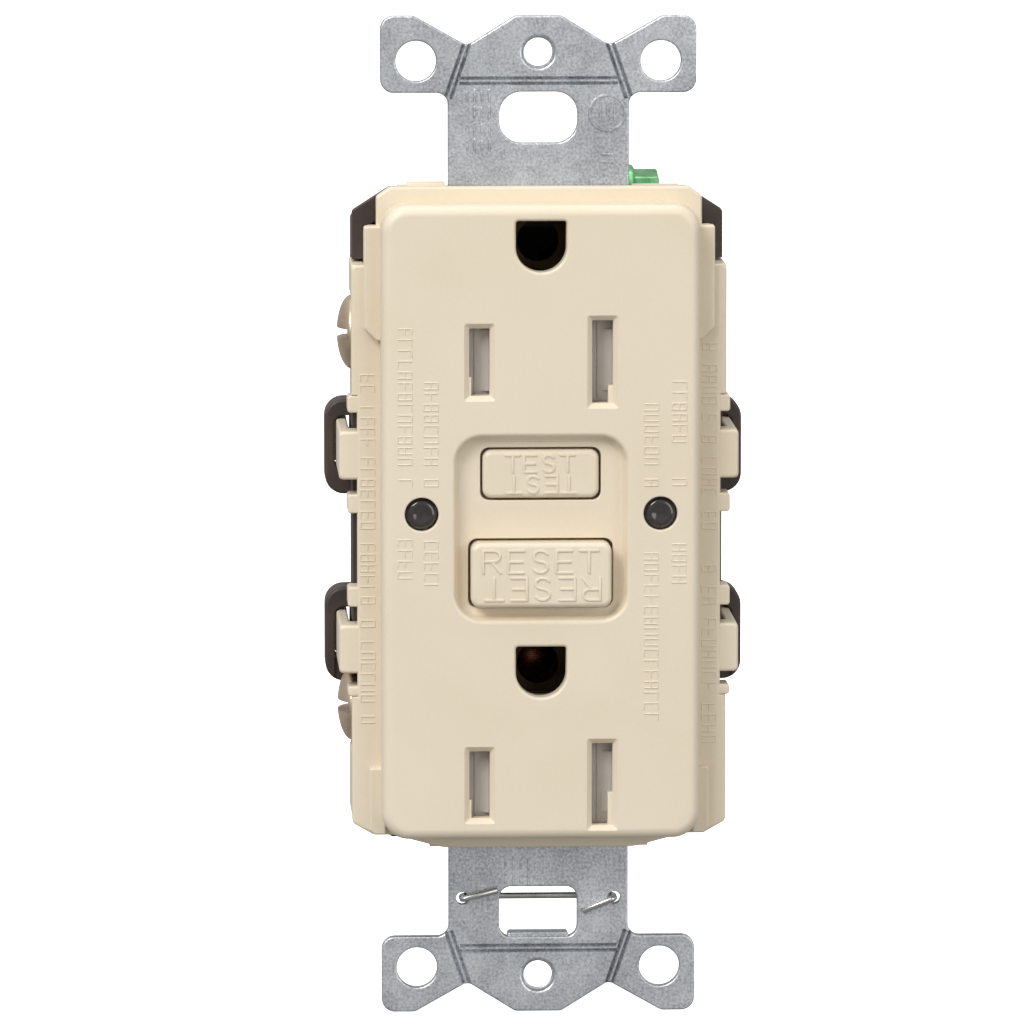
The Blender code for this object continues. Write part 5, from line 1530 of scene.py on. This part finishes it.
    def add_notes(self) -> None:
        """Raised strokes and a plain ring where the strap carries its stamped notes."""
        front = -self.thick
        strokes = []
        for x0, x1, z in ((-7.4, -5.1, 43.9), (-7.4, -5.1, 42.2), (-7.4, -5.1, 40.5),
                          (-7.4, -5.1, 38.8), (-3.4, -1.0, -36.6), (-3.4, -1.0, -38.2)):
            for k in range(4):
                place = x0 + (x1 - x0) * k / 3
                tall = 1.1 if k % 2 else 0.8
                strokes.append([(place, z - tall / 2), (place, z + tall / 2)])
        x, z, radius = self.ring
        top, root = front - self.mark_relief, front + 0.1
        ring = [(top, radius - 0.1), (top, radius + 0.1), (front, 2.0), (root, 2.0),
                (root, 1.68), (front, 1.68)]
        for u0, v0, u1, v1 in ((6.4, 41.3, 6.4, 42.9), (7.2, 41.3, 7.2, 42.9),
                               (7.9, 41.4, 7.9, 42.7), (6.6, 37.0, 7.7, 37.0),
                               (6.6, 37.8, 7.7, 37.8)):
            strokes.append([(u0, v0), (u1, v1)])
        whole = [turned(Axis.Y, x, z, ring, 48)]
        whole += [prism(Axis.Y, ribbon(stroke, self.mark_width), top, root, 0.06, 0.0, 1)
                  for stroke in strokes]
        self.put("strap_notes", joined(whole), self.palette.zinc, Body.DEVICE)

    def add_threads(self) -> None:
        """Tapped threads in the two plate-screw holes."""
        for name, z in (("upper", self.plate_hole[0]), ("lower", -self.plate_hole[0])):
            self.wind(f"{name}_tapped_thread", self.palette.zinc, Body.DEVICE,
                      standing(Axis.Y, 0, -0.85, z), 2.6, self.plate_hole[1], 1.7, 0.11, (32, 8))

    def add_clip(self) -> None:
        """Spring wire behind the lower slot, its two ends bent forward and inward."""
        x, z, radius = self.clip
        front, back = -self.thick - radius - 0.15, radius + 0.15
        route = [(-x + 3.7, front, z + 0.95), (-x, front, z), (-x, back, z), (x, back, z),
                 (x, front, z), (x - 3.35, front, z - 1.35)]
        self.put("grounding_clip", wire(softened(route, 0.4), radius, 18),
                 self.palette.spring, Body.DEVICE, ("self_grounding_clip",), 45.0)

    def add_screw(self) -> None:
        """Hexagonal washer-head screw, dyed green, with a driver slot and a thread."""
        y, z = self.screw
        seat = self.band_x + 0.2
        washer = turned(Axis.X, y, z, [
            (seat - 3.6, 0), (seat - 3.6, 1.5), (seat - 3.3, 1.8), (seat, 1.8), (seat, 3.7),
            (seat + 0.1, 3.86), (seat + 0.35, 3.9), (seat + 0.6, 3.8), (seat + 0.8, 3.5),
            (seat + 0.8, 0)], 64)
        corners = [(y + self.hexagon * math.cos(math.radians(10 + 60 * k)),
                    z + self.hexagon * math.sin(math.radians(10 + 60 * k)), 0.45)
                   for k in range(6)]
        head = prism(Axis.X, rounded(corners, 4), seat + 0.5, seat + 3.3, 0.0, 0.3)
        slot = block(seat + 2.2, seat + 4, y - 5, y + 5, z - 0.55, z + 0.55)
        self.put("bonding_screw", carved([washer, head], [slot]), self.palette.green,
                 Body.GREEN_SCREW, ("ground_screw",))
        self.wind("bonding_screw_thread", self.palette.green, Body.GREEN_SCREW,
                  standing(Axis.X, seat - 3.35, y, z), 4.0, 1.78, 3.0, 0.2, (28, 8))


# ---- Rear housing ------------------------------------------------------------------------
@dataclass
class Housing(Assembly):
    """Dark rear shell in stepped tiers, with latch loops, terminal pockets and wire entries."""

    half_w: float = 19.3
    half_h: float = 34.6
    wall: float = 1.4
    rim_y: float = 1.3
    rear_y: float = 25.0
    skirt_x: float = 19.5
    skirt_y: float = 7.3
    loop_x: float = 21.95
    loop_y: Point = (9.8, 14.6)
    loop_z: tuple[Point, ...] = ((1.2, 11.2), (-18.7, -8.7))
    loop_side: float = 0.95
    pocket: tuple[float, float, float] = (5.2, 14.6, 27.4)
    terminal_x: float = 13.4
    pocket_y: float = 10.2
    pocket_half: float = 4.25
    boss_x: float = 10.5
    boss_z: Point = (24.2, -27.4)
    notch_z: tuple[Point, ...] = ((12.6, 26.8), (-31.7, -18.2))

    def outline(self, half_w: float, top: float, bottom: float, moved: float = 0.0,
                radius: float = 0.5) -> Outline:
        """Cross-section with cut corners, moved inward by a distance."""
        w = half_w - moved
        cut = 0.45 * moved
        corner = self.half_w - 3.9 - cut
        right = [(corner, top - moved, radius), (w, top - 2.5 - cut, radius),
                 (w, bottom + 2.4 + cut, radius), (corner - 0.2, bottom + moved, radius)]
        return rounded(mirrored(right), 4)

    def tiers(self) -> list[tuple[float, float, float, float, float]]:
        """Half width, top, bottom, front and back of each step of the shell."""
        h, w = self.half_h, self.half_w
        return [(w, h - 0.3, 0.6 - h, self.rim_y, self.rim_y + 1.8),
                (w, h - 1.3, 1.7 - h, self.rim_y, 9.2),
                (w - 0.5, h - 3.4, 1.8 - h, 8.7, 12.0),
                (w - 0.9, h - 4.0, 4.0 - h, 11.5, self.rear_y)]

    def shell(self) -> list[Solid]:
        """The stepped body, its latch loops, ribs and raised blank panel."""
        adds = []
        for k, (w, top, bottom, front, back) in enumerate(self.tiers()):
            edge = 0.8 if k == 3 else 0.3
            adds.append(prism(Axis.Y, self.outline(w, top, bottom, 0.0, 1.2 if k == 3 else 0.5),
                              front, back, 0.1, edge, 5))
        for side in (-1, 1):
            for low, high in self.loop_z:
                outer = rounded([(side * (self.half_w - 1.7), low, 0),
                                 (side * self.loop_x, low, 2.0),
                                 (side * self.loop_x, high, 2.0),
                                 (side * (self.half_w - 1.7), high, 0)], 8)
                adds.append(prism(Axis.Y, outer, *self.loop_y, 0.3, 0.3))
            for z in (26.5, 24.9, -25.7, -27.3):
                adds.append(block(side * (self.half_w - 1.6), side * (self.half_w - 0.5), 12.2,
                                  self.rear_y - 1.4, z - 0.35, z + 0.35, 0.15))
        return adds

    def entries(self) -> list[Solid]:
        """Tools for the back: wire funnels, release slots, boss recesses and a panel frame."""
        tools = []
        back = self.rear_y
        for side in (-1, 1):
            x = side * (self.half_w - 3.7)
            for z in SCREW_Z:
                for wire_z in (z - 2.4, z + 2.4):
                    tools.append(turned(Axis.Y, x, wire_z, [
                        (back - 3, 0), (back - 3, 1.15), (back - 0.7, 1.15), (back - 0.15, 1.7),
                        (back + 1, 1.75), (back + 1, 0)], 32))
                tools.append(block(x - side * 3.4, x - side * 2.2, back - 0.8, back + 1,
                                   z - 1.9, z + 1.9, 0.1, 0.3))
            for z in self.boss_z:
                tools.append(turned(Axis.Y, side * self.boss_x, z, [
                    (back - 1.1, 0), (back - 1.1, 1.0), (back - 0.9, 1.9), (back - 0.1, 2.0),
                    (back + 1, 2.2), (back + 1, 0)], 36))
        frame_out = prism(Axis.Y, rounded_rectangle(0, 0, 17.0, 34.0, 1.2, 6), back - 0.35,
                          back + 1)
        frame_in = prism(Axis.Y, rounded_rectangle(0, 0, 16.0, 33.0, 0.9, 6), back - 1,
                         back + 0.6)
        tools.append(carved([frame_out], [frame_in]))
        return tools

    def build(self) -> None:
        """Builds the shell, hollows it and opens its pockets."""
        x0, x1, z0 = self.pocket
        pocket = block(x0, x1, self.rim_y - 1, self.rear_y + 1, z0, 40)
        body = carved(self.shell(), [pocket])
        hollows = [prism(Axis.Y, self.outline(*tier[:3], self.wall, 0.2), self.rim_y - 1,
                         tier[4] - self.wall) for tier in self.tiers()[1:]]
        hollow = carved(hollows, [block(x0 - self.wall, x1 + self.wall, self.rim_y - 2,
                                        self.rear_y + 1, z0 - self.wall, 40)])
        cuts = [hollow]
        for side in (-1, 1):
            for low, high in LATCH_Z:
                near, far = side * self.half_w, side * (self.loop_x - self.loop_side)
                low, high = low - GAP, high + GAP
                cuts.append(cutter(rounded([(near, low, 0), (far, low, 1.0), (far, high, 1.0),
                                            (near, high, 0)], 6), *self.loop_y, 0.2, 0.2))
            outside = side * (self.half_w + 1.7)
            for low, high in self.notch_z:
                cuts.append(block(side * (self.skirt_x - 1.8), outside, self.rim_y - 1,
                                  self.skirt_y, low, high))
            for z in SCREW_Z:
                cuts.append(block(side * (self.terminal_x + 2.1), outside, self.rim_y - 1,
                                  self.pocket_y, z - self.pocket_half, z + self.pocket_half))
        self.put("rear_shell", carved([body], cuts + self.entries()),
                 self.palette.housing, Body.DEVICE, ("rear_housing",))
        self.add_heads()

    def add_heads(self) -> None:
        """Slotted heads of the four assembly screws, sunk in their recesses."""
        back = self.rear_y
        heads = []
        for side in (-1, 1):
            for z in self.boss_z:
                head = turned(Axis.Y, side * self.boss_x, z, [
                    (back - 1.3, 0), (back - 1.3, 1.5), (back - 0.7, 1.5), (back - 0.4, 1.2),
                    (back - 0.25, 0.6), (back - 0.22, 0)], 32)
                middle = side * self.boss_x
                slot = block(middle - 0.2, middle + 0.2, back - 0.7, back, z - 2, z + 2)
                heads.append(carved([head], [slot]))
        self.put("assembly_screws", joined(heads), self.palette.steel, Body.DEVICE)


# ---- Terminals ---------------------------------------------------------------------------
@dataclass
class Terminal(Assembly):
    """Slotted screw, its thread and the wire clamp it drives onto a terminal plate."""

    name: str = "line_hot"
    side: int = -1
    z: float = SCREW_Z[0]
    y: float = 5.5
    head_r: float = 3.9
    head_h: float = 2.8
    shank_r: float = 2.0

    def build(self) -> None:
        """Builds the clamp and the screw where the plain solids are."""
        low, high = box_mm(self.name + "_clamp")
        near, far = sorted((abs(low.x), abs(high.x)))
        finish = self.palette.pale_brass if self.side < 0 else self.palette.nickel
        self.add_clamp(near, far, finish)
        self.add_screw(far + 0.2, finish)

    def add_clamp(self, near: float, far: float, finish: Finish) -> None:
        """Square clamp with rounded corners, wire grooves behind and ridges in front."""
        side, y, z = self.side, self.y, self.z
        outline = rounded_rectangle(y, z, 2 * 3.9, 2 * 3.8, 0.7, 6)
        layers = prism(Axis.X, outline, near, far, 0.12, 0.15)
        bmesh.ops.scale(layers, vec=(side, 1, 1), verts=layers.verts)
        bmesh.ops.recalc_face_normals(layers, faces=layers.faces)
        cuts = [prism(Axis.X, circle(y, z, self.shank_r + 0.2, 40),
                      *sorted((side * (near - 1), side * (far + 1))))]
        for end in (-1, 1):
            cuts.append(prism(Axis.Z, circle(side * (near - 0.35), y + end * 2.8, 0.7, 24),
                              z - 5, z + 5))
            for k in range(5):
                cuts.append(prism(Axis.Y, circle(side * (near - 0.05), z - 2.4 + 1.2 * k, 0.16,
                                                 10), y + end * 2.0, y + end * 4.2))
        self.put(self.name + "_wire_clamp", carved([layers], cuts), finish,
                 Body(self.name + "_clamp_body"), (self.name + "_clamp",))

    def add_screw(self, seat: float, finish: Finish) -> None:
        """Round head with a driver slot, and a shank with a wound thread."""
        side, y, z = self.side, self.y, self.z
        tip, rise = seat - 5.0, 1.2
        profile = [(tip, 0), (tip, self.shank_r - 0.5), (tip + 0.3, self.shank_r - 0.22),
                   (seat - 0.2, self.shank_r - 0.22), (seat, self.shank_r), (seat, 3.6),
                   (seat + 0.12, 3.8), (seat + 0.3, self.head_r), (seat + rise, self.head_r)]
        for k in range(1, 12):
            angle = math.pi / 2 * k / 12
            profile.append((seat + rise + (self.head_h - rise) * math.sin(angle),
                            self.head_r * math.cos(angle)))
        profile.append((seat + self.head_h, 0))
        shape = turned(Axis.X, y, z, [(side * along, radius) for along, radius in profile], 64)
        slot = block(side * (seat + self.head_h - 1.2), side * (seat + self.head_h + 1), y - 5,
                     y + 5, z - 0.55, z + 0.55)
        body = Body(self.name + "_screw_body")
        self.put(self.name + "_binding_screw", carved([shape], [slot]), finish, body,
                 (self.name + "_screw",))
        self.wind(self.name + "_screw_thread", finish, body,
                  standing(Axis.X, side * (tip + 0.4), y, z, side < 0), 5.6,
                  self.shank_r - 0.22, 4.3, 0.21, (28, 8))


# ---- Shutters ----------------------------------------------------------------------------
@dataclass
class Guard(Assembly):
    """Sliding shutter behind one outlet, with a ramp for each blade."""

    name: str = "upper"
    z: float = BLADE_Z[0]
    x: Point = (-11.7, 9.2)
    y: Point = (-4.9, -3.6)
    half_z: float = 4.4
    travel: float = 2.9

    def build(self) -> None:
        """Builds the shutter plate with its windows and ramps."""
        y0, y1 = self.y
        plate = block(*self.x, y0, y1, self.z - self.half_z, self.z + self.half_z, 0.15, 0.4)
        adds, cuts = [plate], []
        for x in (-BLADE_X, BLADE_X):
            window = x - self.travel
            cuts.append(block(window - 1.2, window + 1.2, y0 - 1, y1 + 1, self.z - 4.0,
                              self.z + 4.0))
            ramp = rounded([(x - 0.9, y0 + 0.3, 0), (x + 1.3, y0 + 0.3, 0),
                            (x + 1.3, y0 - 0.4, 0.12), (x + 0.9, y0 - 0.36, 0.1),
                            (x + 0.2, y0 - 0.08, 0.3)], 4)
            adds.append(prism(Axis.Z, ramp, self.z - 3.2, self.z + 3.2, 0.05, 0.05))
            cuts.append(groove((x - 0.55, self.z - 4.0), (x - 0.55, self.z + 4.0), y0, 0.22,
                               0.12))
        self.put(self.name + "_sliding_shutter", carved(adds, cuts), self.palette.shutter,
                 Body(self.name + "_guard"), (self.name + "_shutter",))
        self.dress(self.palette.carrier, self.name + "_shutter_tray")


# ---- Mechanism ---------------------------------------------------------------------------
@dataclass
class Spring(Assembly):
    """Coil spring that fills its plain solid's box."""

    node: str = "reset_spring"
    axis: Axis = Axis.Y
    turns: float = 6.0
    wire_r: float = 0.2
    body: Body = Body.DEVICE
    joint: str = "reset_button_slide"
    towards: Spot = (0.0, 1.0, 0.0)
    anchor: float = 0.2
    keep: float = 0.23

    def build(self) -> None:
        """Winds the spring along its axis."""
        low, high = box_mm(self.node)
        middle, size = (low + high) / 2, high - low
        index = "XYZ".index(self.axis.value)
        radius = min(size[k] for k in range(3) if k != index) / 2 - self.wire_r
        start = middle.copy()
        start[index] = low[index] + self.wire_r
        spring = self.wind(self.node + "_winding", self.palette.spring, self.body,
                           standing(self.axis, *start), self.turns, radius,
                           size[index] - 2 * self.wire_r, self.wire_r, (26, 10), (self.node,))
        rooted = middle.copy()
        rooted[index] = self.anchor
        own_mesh(spring)


@dataclass
class TripMechanism(Assembly):
    """Reset pin, test leaf, contact carriage, latch and solenoid behind the buttons."""

    leaf_half: float = 5.8
    leaf_half_z: float = 1.5
    test_z: float = TEST_OPENING[2]
    solenoid_y: float = 15.2
    coil_r: float = 4.1
    coil_wire_r: float = 0.1

    def build(self) -> None:
        """Builds the leaf and the winding, and dresses the machined solids."""
        self.add_leaf()
        self.add_winding()
        palette = self.palette
        self.dress(palette.steel, "reset_pin", "latch_plate", "solenoid_frame",
                   "solenoid_plunger")
        self.dress(palette.copper, "solenoid_coil", "hot_bridge_contact",
                   "neutral_bridge_contact")
        self.dress(palette.shutter, "solenoid_bobbin")
        self.dress(palette.epoxy, "contact_carriage")

    def add_leaf(self) -> None:
        """Sprung copper leaf under the test button, with bent feet and a pressed dimple."""
        low, high = box_mm("test_spring")
        top, foot, half = low.y, high.y, self.leaf_half
        z0, z1 = self.test_z - self.leaf_half_z, self.test_z + self.leaf_half_z
        side = [(-7.2, foot, 0), (-7.2, foot - 0.35, 0), (-half, foot - 0.35, 0.15),
                (-half, top, 0.4), (half, top, 0.4), (half, foot - 0.35, 0.15),
                (7.2, foot - 0.35, 0), (7.2, foot, 0), (half - 0.38, foot, 0.4),
                (half - 0.38, top + 0.35, 0.15), (0.38 - half, top + 0.35, 0.15),
                (0.38 - half, foot, 0.4)]
        leaf = prism(Axis.Z, rounded(side, 5), z0, z1, 0.06, 0.06)
        dimple = turned(Axis.Y, 0, self.test_z, [(top - 0.04, 0), (top - 0.04, 0.3),
                                                 (top + 0.1, 0.75), (top + 0.1, 0)], 28)
        piece = self.put("test_leaf", carved([leaf, dimple]), self.palette.copper,
                         Body.DEVICE, ("test_spring",))
        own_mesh(piece)

    def add_winding(self) -> None:
        """Outer layer of enamelled wire on the solenoid."""
        low, high = box_mm("solenoid_coil")
        height = high.z - low.z
        self.wind("solenoid_winding", self.palette.copper, Body.DEVICE,
                  standing(Axis.Z, 0, self.solenoid_y, low.z),
                  round(height / (2.1 * self.coil_wire_r)), self.coil_r, height,
                  self.coil_wire_r, (32, 6))


@dataclass
class CircuitBoard(Assembly):
    """Board with its cores and components, and the contacts and carrier in front of it."""

    core_z: float = 15.5
    core_r: Point = (4.3, 7.7)
    wire_r: float = 0.11
    turns: int = 72

    def build(self) -> None:
        """Winds the sensing core, adds solder joints and dresses the rest."""
        self.add_windings()
        self.add_solder()
        palette = self.palette
        self.dress(palette.board, "circuit_board")
        self.dress(palette.epoxy, "core_cup", "control_chip", "thyristor")
        self.dress(palette.core, "sensing_core")
        self.dress(palette.disc, "neutral_core", "varistor")
        self.dress(palette.film, "film_capacitor")
        self.dress(palette.sleeve, "electrolytic_capacitor")
        self.dress(palette.body, "test_resistor")
        self.dress(palette.copper, "hot_core_conductor", "neutral_core_conductor")
        self.dress(palette.brass, "hot_contact_strip", "neutral_contact_strip",
                   "line_hot_terminal", "line_neutral_terminal")
        # The ground contacts get brass darkened with painted shade.
        self.dress(palette.brass_in_painted_shade, "upper_ground_contact", "lower_ground_contact")
        self.dress(palette.carrier, "middle_carrier")

    def add_windings(self) -> None:
        """Turns of fine wire round both ring cores."""
        inner, outer = self.core_r
        for node in ("sensing_core", "neutral_core"):
            low, high = box_mm(node)
            winding = self.shop.ring_winding.grow(node + "_winding", self.palette.copper, {
                "Turns": self.turns, "Core Radius": (inner + outer) / 2 * MM,
                "Loop Width": (outer - inner + 2 * self.wire_r) * MM,
                "Loop Height": (high.y - low.y + 2 * self.wire_r) * MM,
                "Wire Radius": self.wire_r * MM},
                standing(Axis.Y, 0, (low.y + high.y) / 2, self.core_z))
            self.settle(winding, Body.DEVICE, self.palette.copper)

    def add_solder(self) -> None:
        """Small solder cones over the back of the board."""
        low, high = box_mm("circuit_board")
        bumps = self.shop.bumps.grow("solder_joints", self.palette.steel, {
            "Width": (high.x - low.x - 4) * MM, "Depth": (high.z - low.z - 5) * MM,
            "Columns": 11, "Rows": 22, "Bump Radius": 0.6 * MM, "Bump Height": 0.7 * MM,
            "Share Kept": 0.34, "Seed": 11},
            standing(Axis.Y, 0, high.y - 0.02, (low.z + high.z) / 2))
        self.settle(bumps, Body.DEVICE, self.palette.steel)


# ---- Studio ------------------------------------------------------------------------------
@dataclass
class Studio:
    """Camera, soft lights and the pale floor that the receptacle is shown on."""

    azimuth: float = -2.6
    elevation: float = 6.8
    distance: float = 930.0
    lens: float = 314.0
    target: Spot = (-2.745, -1.2, 0.5)
    floor_z: float = -53.2
    floor_size: float = 9000.0

    def set_camera(self) -> None:
        """Long lens, a little to the left and above, as a catalogue view is taken."""
        turn, tilt = math.radians(self.azimuth), math.radians(self.elevation)
        away = Vector((math.sin(turn) * math.cos(tilt), -math.cos(turn) * math.cos(tilt),
                       math.sin(tilt)))
        data = bpy.data.cameras.new("camera")
        data.lens = self.lens
        data.sensor_width = 36.0
        data.clip_start, data.clip_end = 0.05, 60.0
        camera = linked("camera", data)
        camera.location = (Vector(self.target) + away * self.distance) * MM
        camera.rotation_euler = away.to_track_quat("Z", "Y").to_euler()
        bpy.context.scene.camera = camera

    def add_light(self, name: str, spot: Spot, size: Point, watts: float) -> None:
        """Adds a soft white panel that faces the part, with sizes in millimetres."""
        data = bpy.data.lights.new(name, "AREA")
        data.shape = "RECTANGLE"
        data.size, data.size_y = size[0] * MM, size[1] * MM
        data.energy = watts
        light = linked(name, data)
        light.location = Vector(spot) * MM
        light.rotation_euler = Vector(spot).to_track_quat("Z", "Y").to_euler()

    def set_world(self) -> None:
        """Pale surroundings, brighter above than below, and pure white behind the part."""
        world = bpy.data.worlds.new("studio")
        world.use_nodes = True
        tree = world.node_tree
        tree.nodes.clear()
        place = add_node(tree, "ShaderNodeTexCoord")
        split = add_node(tree, "ShaderNodeSeparateXYZ", inputs={
            0: place.outputs["Generated"]})
        height = add_node(tree, "ShaderNodeMapRange", inputs={
            "Value": split.outputs["Z"], "From Min": -0.6, "From Max": 0.8, "To Min": 0.30,
            "To Max": 0.62})
        soft = add_node(tree, "ShaderNodeBackground", inputs={
            "Color": srgb("#FFFFFF"), "Strength": height.outputs["Result"]})
        white = add_node(tree, "ShaderNodeBackground", inputs={
            "Color": srgb("#FFFFFF"), "Strength": 1.05})
        path = add_node(tree, "ShaderNodeLightPath")
        mixed = add_node(tree, "ShaderNodeMixShader", inputs={
            0: path.outputs["Is Camera Ray"], 1: soft.outputs[0], 2: white.outputs[0]})
        add_node(tree, "ShaderNodeOutputWorld", inputs={"Surface": mixed.outputs[0]})
        bpy.context.scene.world = world

    def add_floor(self) -> None:
        """Wide white floor just below the part; it adds no glow of its own to the underside."""
        shape = bmesh.new()
        bmesh.ops.create_grid(shape, x_segments=1, y_segments=1,
                              size=self.floor_size / 2 * MM)
        for vert in shape.verts:
            vert.co.z = self.floor_z * MM
        floor = linked("floor", as_mesh("floor", shape))
        material = bpy.data.materials.new("white_studio_floor")
        material.use_nodes = True
        shader = material.node_tree.nodes["Principled BSDF"]
        shader.inputs["Base Color"].default_value = srgb("#FAFAFA")
        shader.inputs["Roughness"].default_value = 0.9
        shader.inputs["Emission Color"].default_value = srgb("#FFFFFF")
        shader.inputs["Emission Strength"].default_value = 1.0
        floor.data.materials.append(material)
        floor.visible_diffuse = False
        floor.visible_glossy = False

    def build(self) -> None:
        """Sets up the camera first, then the surroundings and the lights."""
        self.set_camera()
        bpy.context.scene.view_settings.view_transform = "Standard"
        self.set_world()
        self.add_light("key", (-700, -900, 900), (700, 700), 14.0)
        self.add_light("fill", (800, -1100, 250), (900, 900), 5.0)
        self.add_light("top", (0, 50, 900), (800, 600), 2.4)
        self.add_floor()
        log.info("studio: lens %.0f mm at %.0f mm", self.lens, self.distance)


def main() -> None:
    """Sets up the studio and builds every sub-assembly."""
    logging.basicConfig(level=logging.INFO, format="%(name)s %(message)s")
    Studio().build()
    shop = Workshop()
    assemblies = [
        Cover(shop),
        PushButton(shop),
        PushButton(shop, "reset_button", Word.RESET, Body.RESET, RESET_OPENING, top_y=-8.2,
                   word_height=2.3, pin_hole=1.25),
        Lens(shop),
        Lens(shop, "right"),
        Strap(shop),
        Housing(shop),
        *(Terminal(shop, f"{supply}_{pole}", side, z)
          for supply, z in zip(("line", "load"), SCREW_Z)
          for pole, side in (("hot", -1), ("neutral", 1))),
        *(Guard(shop, outlet, z) for outlet, z in zip(("upper", "lower"), BLADE_Z)),
        Spring(shop),
        *(Spring(shop, f"{side}_carriage_spring", Axis.Y, 5.0, 0.15, Body.DEVICE,
                 "carriage_slide", (0.0, -1.0, 0.0), 9.8, 0.78) for side in ("left", "right")),
        *(Spring(shop, f"{outlet}_shutter_spring", Axis.X, 8.0, 0.12, Body.DEVICE,
                 f"{outlet}_shutter_slide", (1.0, 0.0, 0.0), 13.7, 0.34)
          for outlet in ("upper", "lower")),
        Spring(shop, "latch_spring", Axis.Z, 5.0, 0.12, Body.CARRIAGE, "latch_slide",
               (0.0, 0.0, 1.0), 1.75, 0.57),
        TripMechanism(shop),
        CircuitBoard(shop),
    ]
    for assembly in assemblies:
        assembly.build()


if __name__ == "__main__":
    main()
